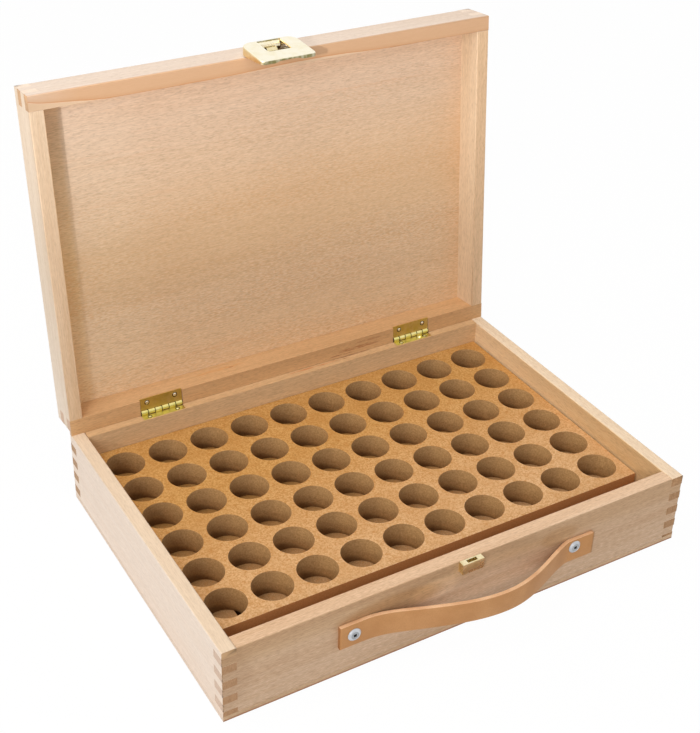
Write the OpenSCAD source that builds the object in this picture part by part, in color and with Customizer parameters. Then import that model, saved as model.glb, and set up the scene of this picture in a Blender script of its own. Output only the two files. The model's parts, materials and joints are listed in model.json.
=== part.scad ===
// Wooden carrying case for small oil bottles, shown with its lid open.
// The origin is the centre of the base's underside. X runs along the front, Y to the back, Z up.

/* [Case] */
// Outside width of the case, left to right
case_w = 360; // [300:1:420]
// Outside depth of the case, front to back
case_d = 250; // [210:1:300]
// Height of the base, from its underside to its rim
base_h = 57; // [50:1:90]
// Thickness of the side walls, base and lid alike
side_t = 10; // [8:0.5:14]
// Thickness of the front wall, base and lid alike
front_t = 11; // [8:0.5:14]
// Thickness of the rear wall of the base
rear_t = 10; // [9:0.5:14]
// Thickness of the bottom panel
bottom_t = 4; // [3:0.5:8]

/* [Corner fingers] */
// Height of one finger in the base's corners
finger_h = 6.25; // [5:0.05:8]
// Lowest front finger's height above the table at the left front corner
finger_first = 8; // [6.5:0.5:10]
// How much lower the pattern starts at the other three corners
finger_drop = 2; // [0:0.25:2]
// Height of one finger in the lid's corners
lid_finger_h = 6.75; // [5:0.05:8]

/* [Bottle plate] */
// Thickness of the drilled plate
plate_t = 19; // [12:1:24]
// How far the plate's top lies below the base's rim
plate_drop = 17; // [10:0.5:25]
// Clearance around the plate's left and rear edges
plate_clear = 0.3; // [0.1:0.1:1]
// Gap between the plate's right edge and the wall
plate_gap_right = 1.5; // [0.3:0.1:3]
// Width of the open trough in front of the plate
trough_w = 23.2; // [12:0.1:50]
// Diameter of one bottle hole
hole_d = 28.1; // [20:0.1:30]
// Distance between holes along the width
hole_pitch_x = 33.33; // [31:0.01:40]
// Distance between rows of holes, front to back
hole_pitch_y = 33; // [31:0.01:40]
// Least wood left between a hole and the plate's edge
hole_edge = 4; // [2:0.5:10]
// How far the pattern of holes sits left of the plate's middle
hole_shift = 0.3; // [0:0.1:2]
// Thickness of the board under the plate
board_t = 4; // [3:0.5:6]
// Width of the notch in the board under the front left hole
notch_w = 9; // [4:0.5:12]
// Length of that notch, from the board's front edge
notch_l = 31; // [20:0.5:34]
// How far the notch starts left of the hole's right edge
notch_in = 4; // [1:0.5:8]
// Width of a batten under the board
batten_w = 15; // [8:1:30]

/* [Lid] */
// Gap between the base's rim and the lid's rim when the lid is shut
lid_gap = 0.3; // [0.2:0.05:0.6]
// Height of the lid
lid_h = 27; // [24:1:50]
// How far the lid stands out in front of the base, as a finger lift
lid_lift = 3; // [0:0.5:6]
// Depth of the lid's interior, rim to panel
lid_depth = 21; // [17:0.5:40]
// Thickness of the lid panel
panel_t = 5; // [3:0.5:6]
// Depth of the grooves that hold the panel
groove_d = 5; // [3:0.5:6]
// Clearance of the panel in its grooves
groove_clear = 0.1; // [0.05:0.05:0.4]
// Thickness of the lid's rear rail
lid_rear_t = 9.33; // [7:0.01:12]
// Depth and height of the lip along the lid's rear rim
lip = 3; // [3:0.1:4]
// Depth of the rebate in the base's rear rim that the lip turns in
rebate_h = 0.75; // [0.7:0.05:2]
// Room in front of the lip in that rebate
rebate_clear = 0.3; // [0.2:0.05:0.6]
// Angle at which the lid stands open
open_angle = 95.2; // [0:0.1:96]

/* [Hinges] */
// Length of one hinge
hinge_l = 33; // [30:0.5:45]
// Left hinge: its left end's distance from the case's left face
hinge_left = 54; // [45:0.1:100]
// Right hinge: its right end's distance from the case's right face
hinge_right = 53.7; // [45:0.1:100]
// How far the hinge pin lies in from the rear face
pin_in = 1.7; // [1.6:0.05:1.9]
// Height of the hinge pin above the base's rim
pin_rise = 1.46; // [1.4:0.01:1.6]
// Diameter of the hinge pin
pin_d = 2.4; // [1.6:0.1:2.8]
// Clearance around the pin in its knuckles
pin_clear = 0.05; // [0.02:0.01:0.08]
// Outside diameter of the knuckles
knuckle_d = 4.6; // [4.4:0.1:4.7]
// Number of knuckles on one hinge
knuckles = 6; // [4:2:8]
// Gap between two knuckles
knuckle_gap = 0.3; // [0.1:0.05:0.6]
// Clearance between a barrel and what turns past it
barrel_clear = 0.3; // [0.2:0.05:0.4]
// Thickness of a hinge leaf
leaf_t = 1; // [0.8:0.1:1.2]
// How far the base leaf reaches in from the rear face
base_leaf_in = 9; // [8:0.1:9.5]
// How far the lid leaf reaches in from the rear face
lid_leaf_in = 13.5; // [11:0.1:15]
// Extra length of the lid's recess past the right end of its leaf
recess_extra = 0.8; // [0.1:0.1:2]
// Side clearance of a leaf in its recess
leaf_clear = 0.1; // [0.05:0.05:0.3]

/* [Nails] */
// Diameter of a nail's shank
nail_d = 1.4; // [1:0.1:2]
// Diameter of a nail's head
nail_head_d = 3.4; // [2.6:0.1:3.8]
// Length of a nail
nail_l = 8; // [5:0.5:9]
// Clearance around a nail in metal and wood
nail_clear = 0.05; // [0.02:0.01:0.1]
// Distance of the nails from a hinge's ends
nail_end = 5.4; // [3:0.1:8]
// How far the lid leaf's nails lie in from the rear face
lid_nail_in = 9.9; // [8:0.1:10.5]
// How far the base leaf's nails lie in from the rear face
base_nail_in = 6.6; // [6:0.1:6.8]
// Distance of the spare hole in the right base leaf from that leaf's left end
spare_hole_at = 22.6; // [15:0.1:23]

/* [Latch] */
// How far the latch sits left of the middle of the case
latch_left = 2.4; // [-20:0.1:20]
// Width of the latch lever
lever_w = 43; // [34:0.5:50]
// Thickness of the lever's plate
lever_t = 1; // [0.6:0.1:1.4]
// Length of the lever below its pin
lever_below = 33.4; // [27:0.1:36]
// Length of the lever above its pin
lever_above = 0.9; // [0.5:0.1:2]
// Distance from the pin's centre to the lever's outer face
lever_out = 2.15; // [2.1:0.05:2.6]
// Depth of the side flanges, measured from the outer face
flange_side = 3.6; // [3.3:0.1:3.9]
// Depth of the lower flange, measured from the outer face
flange_low = 2.6; // [1.5:0.1:3]
// How far below the pin the side flanges keep their full depth
flange_step = 6; // [3:0.5:10]
// Width of the arch in the lower flange
arch_w = 19; // [12:0.5:24]
// Corner radius of the lever
lever_corner = 3.5; // [2:0.5:6]
// Width of the window in the lever
window_w = 19; // [18:0.5:24]
// How far the window's lower edge lies below the pin
window_below = 17.2; // [17.2:0.05:18]
// Depth of the hook along the window's lower edge
hook_d = 1.3; // [1:0.05:1.35]
// How far the lever leans in at its lower end when it hangs free
lever_lean = 4.4; // [4:0.1:4.6]
// Height of the latch pin above the lid's rim
latch_pin_up = 8.3; // [8:0.05:8.6]
// Distance of the latch pin from the lid's front face
latch_pin_out = 3.4; // [3.3:0.05:3.8]
// Diameter of the latch pin
latch_pin_d = 2; // [1.4:0.1:2.2]
// Thickness of the latch's back plate
plate_back_t = 1; // [0.6:0.1:1.2]
// Width of the latch's back plate
plate_back_w = 28; // [24:0.5:30]
// Height of the back plate's lower edge above the lid's rim
plate_back_low = 2; // [1:0.5:3]
// Height of the back plate's upper edge above the lid's rim
plate_back_high = 18; // [14:0.5:20]
// Width of the spring tongue behind the window
tongue_w = 8; // [4:0.5:10]
// Thickness of the spring tongue
tongue_t = 0.5; // [0.4:0.1:0.8]

/* [Catch] */
// Width of the catch on the base
catch_w = 16.6; // [14:0.1:17]
// Height of the catch
catch_h = 8; // [7.8:0.1:8]
// How far the catch stands out from the front wall
catch_out = 4.6; // [4:0.1:4.7]
// Width of the slot in the catch's top
catch_slot = 7.6; // [5:0.1:8]
// Thickness of the catch's metal
catch_t = 1; // [0.8:0.1:1.2]

/* [Handle] */
// Thickness of the leather strap
strap_t = 2.7; // [2:0.1:4]
// Height of the strap, edge to edge
strap_h = 18; // [14:0.5:24]
// Height of the strap's lower edge above the table
strap_z = 22; // [12:0.5:24]
// Length of the strap, end to end along the wall
strap_l = 201.5; // [180:0.5:240]
// How far the strap's middle sits right of the middle of the case
strap_right = 0.25; // [-10:0.05:10]
// Flat length of the strap between the left washer and the bow
strap_flat_left = 2.75; // [0.1:0.05:6]
// Flat length of the strap between the right washer and the bow
strap_flat_right = 0.1; // [0.1:0.05:6]
// How far right of the middle of the case the strap bows out farthest
strap_peak = 12; // [-20:1:20]
// How far the strap bows out from the wall
strap_bow = 21.5; // [10:0.5:40]
// Distance of the left handle screw from the strap's end
strap_screw_left = 10.5; // [9:0.5:18]
// Distance of the right handle screw from the strap's end
strap_screw_right = 17; // [9:0.5:18]
// How far the handle's screws sit above the middle of the strap
strap_screw_up = 2; // [-3:0.5:3]
// Diameter of a handle screw
screw_d = 3.8; // [3:0.1:4.5]
// Depth of a handle screw in the wall
screw_in = 7.5; // [4:0.5:7.5]
// Clearance around a handle screw
screw_clear = 0.05; // [0.02:0.01:0.1]
// Diameter of a cup washer
washer_d = 9.5; // [8:0.1:12]
// Height of a cup washer
washer_t = 1.4; // [1:0.1:2]
// Width of the square drive in a handle screw
drive_w = 1.8; // [1.2:0.1:2]

/* [Hidden] */
eps = 0.5;
xl = -case_w / 2;
xr = case_w / 2;
yf = -case_d / 2;
yb = case_d / 2;
wall_h = base_h - bottom_t;
rim = base_h + lid_gap;
hinge_y = yb - pin_in;
hinge_z = base_h + pin_rise;
lid_yf = yf - lid_lift;
lid_yb = yb - lip;
plate_top = base_h - plate_drop;
plate_x0 = xl + side_t + plate_clear;
plate_x1 = xr - side_t - plate_gap_right;
plate_y0 = yf + front_t + trough_w;
plate_y1 = yb - rear_t - plate_clear;
board_top = plate_top - plate_t;
cols = floor((plate_x1 - plate_x0 - hole_d - 2 * hole_edge) / hole_pitch_x) + 1;
rows = floor((plate_y1 - plate_y0 - hole_d - 2 * hole_edge) / hole_pitch_y) + 1;
first_x = (plate_x0 + plate_x1) / 2 - hole_shift - (cols - 1) * hole_pitch_x / 2;
first_y = (plate_y0 + plate_y1) / 2 - (rows - 1) * hole_pitch_y / 2;
hinge_x = [xl + hinge_left, xr - hinge_right - hinge_l];
bore_r = pin_d / 2 + pin_clear;
knuckle_r = knuckle_d / 2;
knuckle_l = hinge_l / knuckles;
turn_r = knuckle_r + barrel_clear;
latch_x = -latch_left;
latch_y = lid_yf - latch_pin_out;
latch_z = rim + latch_pin_up;
latch_r = latch_pin_d / 2;
back_y = lid_yf - plate_back_t;
screw_z = strap_z + strap_h / 2 + strap_screw_up;
strap_x0 = strap_right - strap_l / 2;
strap_x1 = strap_right + strap_l / 2;
screw_xs = [strap_x0 + strap_screw_left, strap_x1 - strap_screw_right];
bow_x0 = screw_xs[0] + washer_d / 2 + strap_flat_left;
bow_x1 = screw_xs[1] - washer_d / 2 - strap_flat_right;
beech = [0.86, 0.70, 0.54];
beech_dark = [0.75, 0.58, 0.42];
mdf = [0.80, 0.60, 0.38];
brass = [0.85, 0.75, 0.42];
leather = [0.76, 0.54, 0.35];
steel = [0.80, 0.80, 0.82];

// A block between two corners
module block(a, b) {
  translate(a) cube(b - a);
}

// The front or rear wall's fingers in one corner of the base, from its lowest finger up
module base_fingers(x0, x1, y0, y1, first) {
  count = floor((base_h - 1 - first + finger_h) / (2 * finger_h));
  for (k = [0 : count - 1])
    block([x0, y0, first + 2 * k * finger_h], [x1, y1, first + (2 * k + 1) * finger_h]);
}

// The front or rear rail's fingers in one corner of the lid, the rim first
module lid_fingers(x0, x1, y0, y1) {
  count = floor((lid_h - 1 + lid_finger_h) / (2 * lid_finger_h));
  for (k = [0 : count - 1])
    block([x0, y0, rim + 2 * k * lid_finger_h], [x1, y1, rim + (2 * k + 1) * lid_finger_h]);
}

// Places what is drawn for the shut lid where the open lid stands
module opened() {
  translate([0, hinge_y, hinge_z]) rotate([-open_angle, 0, 0]) translate([0, -hinge_y, -hinge_z])
    children();
}

// The rebate that the lid's rear lip turns in
module lip_rebate() {
  block([xl - eps, lid_yb - rebate_clear, base_h - rebate_h], [xr + eps, yb + eps, base_h + eps]);
}

// The space that the barrel of every hinge turns in
module barrel_space() {
  for (x = hinge_x)
    translate([x - leaf_clear, hinge_y, hinge_z]) rotate([0, 90, 0])
      cylinder(r = turn_r, h = hinge_l + 2 * leaf_clear, $fn = 48);
}

// A rod along X
module rod_x(x0, x1, y, z, r) {
  translate([x0, y, z]) rotate([0, 90, 0]) cylinder(r = r, h = x1 - x0, $fn = 36);
}

// A nail with a countersunk head, driven down along -Z, with its head's top at 0
module nail(extra = 0, length = nail_l, sink = leaf_t) {
  translate([0, 0, -length]) cylinder(d = nail_d + 2 * extra, h = length - sink + 0.01, $fn = 24);
  translate([0, 0, -sink])
    cylinder(d1 = nail_d + 2 * extra, d2 = nail_head_d + 2 * extra, h = sink, $fn = 32);
}

module base_bottom_panel() {
  color(beech_dark) block([xl, yf, 0], [xr, yb, bottom_t]);
}

// A front wall fits between the side walls and grips them with its fingers
module base_front_wall() {
  color(beech_dark) difference() {
    union() {
      block([xl + side_t, yf, bottom_t], [xr - side_t, yf + front_t, base_h]);
      base_fingers(xl, xl + side_t + 0.01, yf, yf + front_t, finger_first);
      base_fingers(xr - side_t - 0.01, xr, yf, yf + front_t, finger_first - finger_drop);
    }
    handle_screw_holes();
    catch_nail_holes();
  }
}

module base_rear_wall() {
  color(beech_dark) difference() {
    union() {
      block([xl + side_t, yb - rear_t, bottom_t], [xr - side_t, yb, base_h]);
      base_fingers(xl, xl + side_t + 0.01, yb - rear_t, yb, finger_first - finger_drop);
      base_fingers(xr - side_t - 0.01, xr, yb - rear_t, yb, finger_first - finger_drop);
    }
    lip_rebate();
    barrel_space();
    for (x = hinge_x)
      block([x - leaf_clear, yb - base_leaf_in - leaf_clear, base_h - leaf_t],
        [x + hinge_l + leaf_clear, yb + eps, base_h + eps]);
    base_leaf_nail_places() nail(nail_clear, nail_l + nail_clear);
  }
}

// A side wall runs the full depth, less the fingers of the front and rear walls
module side_wall(x0, first_front) {
  difference() {
    block([x0, yf, bottom_t], [x0 + side_t, yb, base_h]);
    base_fingers(x0 - eps, x0 + side_t + eps, yf - eps, yf + front_t, first_front);
    base_fingers(x0 - eps, x0 + side_t + eps, yb - rear_t, yb + eps, finger_first - finger_drop);
    lip_rebate();
  }
}

module base_left_wall() {
  color(beech) side_wall(xl, finger_first);
}

module base_right_wall() {
  color(beech) side_wall(xr - side_t, finger_first - finger_drop);
}

// The drilled plate: every bottle stands in one of its holes, on the board below
module bottle_plate() {
  color(mdf) difference() {
    block([plate_x0, plate_y0, board_top], [plate_x1, plate_y1, plate_top]);
    for (i = [0 : cols - 1], j = [0 : rows - 1])
      translate([first_x + i * hole_pitch_x, first_y + j * hole_pitch_y, board_top - eps])
        cylinder(d = hole_d, h = plate_t + 2 * eps, $fn = 64);
  }
}

module plate_board() {
  color(mdf) difference() {
    block([plate_x0, plate_y0, board_top - board_t], [plate_x1, plate_y1, board_top]);
    translate([first_x + hole_d / 2 - notch_in, plate_y0 - eps, board_top - board_t - eps])
      cube([notch_w, notch_l + eps, board_t + 2 * eps]);
  }
}

// A batten holds the board up from the bottom panel
module batten(y0) {
  block([plate_x0, y0, bottom_t], [plate_x1, y0 + batten_w, board_top - board_t]);
}

module front_batten() {
  color(mdf) batten(plate_y0 + notch_l + 1);
}

module rear_batten() {
  color(mdf) batten(plate_y1 - batten_w);
}

// How far the strap's inner face stands off the wall at x
function bow(x) =
  x <= bow_x0 || x >= bow_x1 ? 0
  : x < strap_peak ? strap_bow * pow(sin(90 * (x - bow_x0) / (strap_peak - bow_x0)), 1.8)
  : strap_bow * pow(sin(90 * (bow_x1 - x) / (bow_x1 - strap_peak)), 1.6);
function bow_slope(x) = (bow(x + 0.5) - bow(x - 0.5));
// The same point on the outer face, one thickness out along the normal
function bow_out(x) = let (s = bow_slope(x), n = sqrt(1 + s * s))
  [x - strap_t * s / n, bow(x) + strap_t / n];

module handle_strap() {
  steps = 44;
  run = bow_x1 - bow_x0;
  xs = [for (i = [0 : steps]) bow_x0 + run * i / steps];
  inner = concat([[strap_x0, 0]], [for (x = xs) [x, bow(x)]], [[strap_x1, 0]]);
  outer = concat([[strap_x1, strap_t]], [for (i = [steps : -1 : 0]) bow_out(xs[i])], [[strap_x0, strap_t]]);
  color(leather) difference() {
    translate([0, yf, strap_z]) mirror([0, 1, 0]) linear_extrude(strap_h) polygon(concat(inner, outer));
    handle_screw_holes();
  }
}

// The holes of the handle's screws, through the strap and into the front wall
module handle_screw_holes() {
  for (x = screw_xs)
    translate([x, yf + screw_in + screw_clear, screw_z]) rotate([90, 0, 0])
      cylinder(d = screw_d + 2 * screw_clear, h = screw_in + strap_t + 1, $fn = 36);
}

// A cup washer: a low dome with a countersunk hole
module cup_washer() {
  rotate([90, 0, 0]) rotate_extrude($fn = 48)
    polygon([[screw_d / 2 + screw_clear, 0], [washer_d / 2, 0], [washer_d / 2, washer_t * 0.3],
      [washer_d / 2 - 0.9, washer_t * 0.85], [washer_d / 2 - 1.6, washer_t],
      [washer_d / 2 - 2.0 + screw_clear, washer_t]]);
}

module handle_washers() {
  color(steel) for (x = screw_xs) translate([x, yf - strap_t, screw_z]) cup_washer();
}

// A wood screw with a square drive in its countersunk head
module handle_screw() {
  head_r = washer_d / 2 - 2.0;
  difference() {
    union() {
      rotate([90, 0, 0]) cylinder(r1 = screw_d / 2, r2 = head_r, h = washer_t, $fn = 36);
      rotate([-90, 0, 0]) cylinder(d = screw_d, h = strap_t + screw_in, $fn = 36);
    }
    translate([-drive_w / 2, -washer_t - eps, -drive_w / 2]) cube([drive_w, washer_t * 0.8 + eps, drive_w]);
  }
}

module handle_screws() {
  color(steel) for (x = screw_xs) translate([x, yf - strap_t, screw_z]) handle_screw();
}

// The catch: a folded bracket on the front wall with a slot in its top
module catch_bracket() {
  color(brass) difference() {
    block([latch_x - catch_w / 2, yf - catch_out, base_h - catch_h], [latch_x + catch_w / 2, yf, base_h]);
    block([latch_x - catch_slot / 2, yf - catch_out + catch_t, base_h - catch_h + catch_t],
      [latch_x + catch_slot / 2, yf - catch_t, base_h + eps]);
    catch_nail_holes();
  }
}

module catch_nail_places() {
  for (s = [-1, 1])
    translate([latch_x + s * catch_slot / 4, yf - catch_t, base_h - catch_h / 2 + 0.5 * s * catch_t])
      rotate([90, 0, 0]) children();
}

module catch_nail_holes() {
  catch_nail_places() nail(nail_clear, nail_l + nail_clear, catch_t);
}

module catch_nails() {
  color(brass) catch_nail_places() nail(0, nail_l, catch_t);
}

// Knuckles of one leaf: every other one, the first or the second leading
module knuckle_rods(x, lead) {
  for (i = [lead : 2 : knuckles - 1]) {
    a = x + i * knuckle_l + (i == 0 ? 0 : knuckle_gap / 2);
    b = x + (i + 1) * knuckle_l - (i == knuckles - 1 ? 0 : knuckle_gap / 2);
    rod_x(a, b, hinge_y, hinge_z, knuckle_r);
  }
}

// Where one leaf joins its own knuckles
module knuckle_webs(x, lead, z) {
  for (i = [lead : 2 : knuckles - 1]) {
    a = x + i * knuckle_l + (i == 0 ? 0 : knuckle_gap / 2);
    b = x + (i + 1) * knuckle_l - (i == knuckles - 1 ? 0 : knuckle_gap / 2);
    block([a, hinge_y - turn_r - 0.01, z], [b, hinge_y, z + leaf_t]);
  }
}

module base_leaf(x, spare = false) {
  difference() {
    union() {
      block([x, yb - base_leaf_in, base_h - leaf_t], [x + hinge_l, hinge_y - turn_r, base_h]);
      knuckle_rods(x, 0);
      knuckle_webs(x, 0, base_h - leaf_t);
    }
    rod_x(x - eps, x + hinge_l + eps, hinge_y, hinge_z, bore_r);
    base_leaf_nail_places() nail(nail_clear);
    if (spare) translate([x + spare_hole_at, yb - base_nail_in, base_h]) nail(nail_clear);
  }
}

module base_leaf_nail_places() {
  for (x = hinge_x, s = [nail_end, hinge_l - nail_end])
    translate([x + s, yb - base_nail_in, base_h]) children();
}

module left_hinge_base_leaf() {
  color(brass) base_leaf(hinge_x[0]);
}

module right_hinge_base_leaf() {
  color(brass) base_leaf(hinge_x[1], true);
}

module hinge_base_nails() {
  color(brass) base_leaf_nail_places() nail();
}

module hinge_pin(x) {
  rod_x(x, x + hinge_l, hinge_y, hinge_z, pin_d / 2);
}

module left_hinge_pin() {
  color(brass) hinge_pin(hinge_x[0]);
}

module right_hinge_pin() {
  color(brass) hinge_pin(hinge_x[1]);
}

// The lid leaf is drawn with the lid shut: it lies on the rim, its nails driven up
module lid_leaf(x) {
  difference() {
    union() {
      block([x, yb - lid_leaf_in, rim], [x + hinge_l, hinge_y - turn_r, rim + leaf_t]);
      knuckle_rods(x, 1);
      knuckle_webs(x, 1, rim);
    }
    rod_x(x - eps, x + hinge_l + eps, hinge_y, hinge_z, bore_r);
    lid_leaf_nail_places() nail(nail_clear);
  }
}

module lid_leaf_nail_places() {
  for (x = hinge_x, s = [nail_end, hinge_l - nail_end])
    translate([x + s, yb - lid_nail_in, rim]) rotate([180, 0, 0]) children();
}

module left_hinge_lid_leaf() {
  color(brass) opened() lid_leaf(hinge_x[0]);
}

module right_hinge_lid_leaf() {
  color(brass) opened() lid_leaf(hinge_x[1]);
}

module hinge_lid_nails() {
  color(brass) opened() lid_leaf_nail_places() nail();
}

// The panel's grooves in the four rails
module panel_groove() {
  c = groove_clear;
  block([xl + side_t - groove_d - c, lid_yf + front_t - groove_d - c, rim + lid_depth - c],
    [xr - side_t + groove_d + c, lid_yb - lid_rear_t + groove_d + c, rim + lid_depth + panel_t + c]);
}

module lid_panel() {
  color(beech) opened()
    block([xl + side_t - groove_d, lid_yf + front_t - groove_d, rim + lid_depth],
      [xr - side_t + groove_d, lid_yb - lid_rear_t + groove_d, rim + lid_depth + panel_t]);
}

module lid_front_rail() {
  color(beech) opened() difference() {
    union() {
      block([xl + side_t, lid_yf, rim], [xr - side_t, lid_yf + front_t, rim + lid_h]);
      lid_fingers(xl, xl + side_t + 0.01, lid_yf, lid_yf + front_t);
      lid_fingers(xr - side_t - 0.01, xr, lid_yf, lid_yf + front_t);
    }
    panel_groove();
    latch_nail_holes();
  }
}

module lid_rear_rail() {
  y0 = lid_yb - lid_rear_t;
  color(beech_dark) opened() difference() {
    union() {
      block([xl + side_t, y0, rim], [xr - side_t, lid_yb, rim + lid_h]);
      lid_fingers(xl, xl + side_t + 0.01, y0, lid_yb);
      lid_fingers(xr - side_t - 0.01, xr, y0, lid_yb);
      block([xl, lid_yb - 0.01, rim], [xr, lid_yb + lip, rim + lip]);
    }
    panel_groove();
    barrel_space();
    for (x = hinge_x)
      block([x - leaf_clear, y0 - eps, rim - eps],
        [x + hinge_l + recess_extra, hinge_y, rim + leaf_t]);
    lid_leaf_nail_places() nail(nail_clear, nail_l + nail_clear);
  }
}

// A lid side rail runs the full depth, less the fingers of the front and rear rails
module lid_side_rail(x0) {
  difference() {
    block([x0, lid_yf, rim], [x0 + side_t, lid_yb, rim + lid_h]);
    lid_fingers(x0 - eps, x0 + side_t + eps, lid_yf - eps, lid_yf + front_t);
    lid_fingers(x0 - eps, x0 + side_t + eps, lid_yb - lid_rear_t, lid_yb + eps);
    panel_groove();
  }
}

module lid_left_rail() {
  color(beech) opened() lid_side_rail(xl);
}

module lid_right_rail() {
  color(beech) opened() lid_side_rail(xr - side_t);
}

module latch_nail_places() {
  for (x = [-1, 1], z = [0, 1])
    translate([latch_x + x * (plate_back_w / 2 - 2.4), back_y,
      rim + (z == 0 ? plate_back_low + 2.4 : plate_back_high - 2.4)]) rotate([90, 0, 0]) children();
}

module latch_nail_holes() {
  latch_nail_places() nail(nail_clear, nail_l + nail_clear, plate_back_t);
}

module latch_nails() {
  color(brass) opened() latch_nail_places() nail(0, nail_l, plate_back_t);
}

// The back plate with the barrel that the lever's pin runs through
module latch_back_plate() {
  half = window_w / 2 - 0.5;
  color(brass) opened() difference() {
    union() {
      block([latch_x - plate_back_w / 2, back_y, rim + plate_back_low],
        [latch_x + plate_back_w / 2, lid_yf, rim + plate_back_high]);
      rod_x(latch_x - half, latch_x + half, latch_y, latch_z, lever_out - 0.05);
      block([latch_x - half, latch_y, latch_z], [latch_x + half, back_y + 0.01, latch_z + lever_out - 0.05]);
    }
    rod_x(latch_x - lever_w, latch_x + lever_w, latch_y, latch_z, latch_r + pin_clear);
    latch_nail_holes();
  }
}

module latch_pin() {
  color(brass) opened() rod_x(latch_x - lever_w / 2, latch_x + lever_w / 2, latch_y, latch_z, latch_r);
}

// A bent leaf whose foot lies on the back plate and whose tip stands in the window
module latch_spring() {
  foot = rim + plate_back_low;
  t = tongue_t;
  color(steel) opened()
    translate([latch_x - tongue_w / 2, back_y, foot]) rotate([90, 0, 90]) linear_extrude(tongue_w)
      polygon([[0, 0.2], [-t, 0.2], [-2.2, 1.6], [-2.2, 3.2], [-2.2 + t, 3.2], [-2.2 + t, 1.6 + t],
        [-t, 0.2 + 2.5 * t], [0, 0.2 + 2.5 * t]]);
}

// A flat outline with four round corners
module rounded(w, z0, z1, r) {
  translate([-w / 2, z0 + r]) square([w, z1 - z0 - 2 * r]);
  translate([-w / 2 + r, z0]) square([w - 2 * r, z1 - z0]);
  for (x = [-1, 1], z = [z0 + r, z1 - r]) translate([x * (w / 2 - r), z]) circle(r = r, $fn = 32);
}

// The lever in its own frame: pin along X at 0, outer face at -lever_out, hanging down along -Z
module lever_shape() {
  t = lever_t;
  difference() {
    union() {
      translate([0, t - lever_out, 0]) rotate([90, 0, 0]) linear_extrude(t)
        rounded(lever_w, -lever_below, lever_above, lever_corner / 4 + 0.02);
      // side flanges, deepest at the pin
      for (x = [-lever_w / 2, lever_w / 2 - t])
        translate([x, -lever_out, 0]) rotate([90, 0, 90]) linear_extrude(t)
          polygon([[0, lever_above], [flange_side - 1, lever_above], [flange_side, 0],
            [flange_side, -flange_step], [flange_low, -lever_below], [0, -lever_below]]);
      // lower flange
      block([-lever_w / 2, -lever_out, -lever_below], [lever_w / 2, flange_low - lever_out, -lever_below + t]);
      // hook along the window's lower edge
      block([-window_w / 2 + 1.5, -lever_out, -window_below - t],
        [window_w / 2 - 1.5, t + hook_d - lever_out, -window_below]);
    }
    // window, open at the top for the barrel
    block([-window_w / 2, -lever_out - eps, -window_below], [window_w / 2, flange_side, lever_above + eps]);
    // arch in the lower flange
    block([-arch_w / 2, t - lever_out, -lever_below - eps],
      [arch_w / 2, flange_side, -lever_below + t + 0.01]);
    // outer corners
    corner_cut(-1);
    corner_cut(1);
    rod_x(-lever_w, lever_w, 0, 0, latch_r + pin_clear);
  }
}

// Rounds one lower corner of the lever, seen from the front
module corner_cut(s) {
  r = lever_corner;
  translate([s * (lever_w / 2 - r), flange_side, -lever_below + r]) rotate([90, 0, 0])
    linear_extrude(flange_side + lever_out + eps) difference() {
      translate([s > 0 ? 0 : -r - 1, -r - 1]) square(r + 1);
      circle(r = r, $fn = 40);
    }
}

module latch_lever() {
  color(brass) opened() translate([latch_x, latch_y, latch_z]) rotate([lever_lean, 0, 0]) lever_shape();
}

base_bottom_panel();
base_front_wall();
base_rear_wall();
base_left_wall();
base_right_wall();
bottle_plate();
plate_board();
front_batten();
rear_batten();
handle_strap();
handle_washers();
handle_screws();
catch_bracket();
catch_nails();
left_hinge_base_leaf();
right_hinge_base_leaf();
left_hinge_pin();
right_hinge_pin();
hinge_base_nails();
left_hinge_lid_leaf();
right_hinge_lid_leaf();
hinge_lid_nails();
lid_front_rail();
lid_rear_rail();
lid_left_rail();
lid_right_rail();
lid_panel();
latch_back_plate();
latch_spring();
latch_pin();
latch_nails();
latch_lever();
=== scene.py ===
# %% [markdown]
# # A wooden case for small oil bottles
# This lesson dresses a measured model of the case in Blender. The model of the solids comes first: it
# gives every size and every hinge line, and nothing here moves it. Each later cell builds one visible
# piece or one finish on top of it. Sizes are written in millimetres and multiplied by MM, because
# Blender counts in metres. X runs to the right along the front, Y to the back, Z up.

# %% Load the measured model
import json
import math

import bmesh
import bpy
from mathutils import Matrix, Vector


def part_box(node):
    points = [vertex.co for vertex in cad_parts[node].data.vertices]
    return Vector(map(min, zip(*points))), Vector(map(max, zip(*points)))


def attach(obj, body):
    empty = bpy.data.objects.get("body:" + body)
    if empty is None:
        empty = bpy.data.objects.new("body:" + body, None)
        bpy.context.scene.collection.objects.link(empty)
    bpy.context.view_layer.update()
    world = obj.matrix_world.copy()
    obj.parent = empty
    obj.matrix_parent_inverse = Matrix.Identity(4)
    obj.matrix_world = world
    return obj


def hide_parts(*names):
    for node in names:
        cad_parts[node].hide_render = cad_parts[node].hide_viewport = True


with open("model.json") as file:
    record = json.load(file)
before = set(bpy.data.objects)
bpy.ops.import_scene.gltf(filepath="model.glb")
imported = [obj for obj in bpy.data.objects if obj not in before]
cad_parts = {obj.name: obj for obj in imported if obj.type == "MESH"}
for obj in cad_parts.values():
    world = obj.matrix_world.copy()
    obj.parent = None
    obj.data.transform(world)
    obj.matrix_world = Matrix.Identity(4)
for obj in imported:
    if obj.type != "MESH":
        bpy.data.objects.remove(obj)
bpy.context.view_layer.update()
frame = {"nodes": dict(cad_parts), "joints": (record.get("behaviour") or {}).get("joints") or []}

MM = 0.001
NODES = frame["nodes"]

# %% [markdown]
# ## Sizes read from the model
# A dressed piece has to lie where the solid lies. Typing its numbers again would let the two drift
# apart, so this cell reads boxes and hinge lines from the model instead, and the rest of the lesson
# only uses these names.

# %% Read walls, plate and hinge line
def corner_box(node):
    """The lowest and highest corner of a solid, in millimetres."""
    low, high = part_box(node)
    return [c / MM for c in low], [c / MM for c in high]


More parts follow.
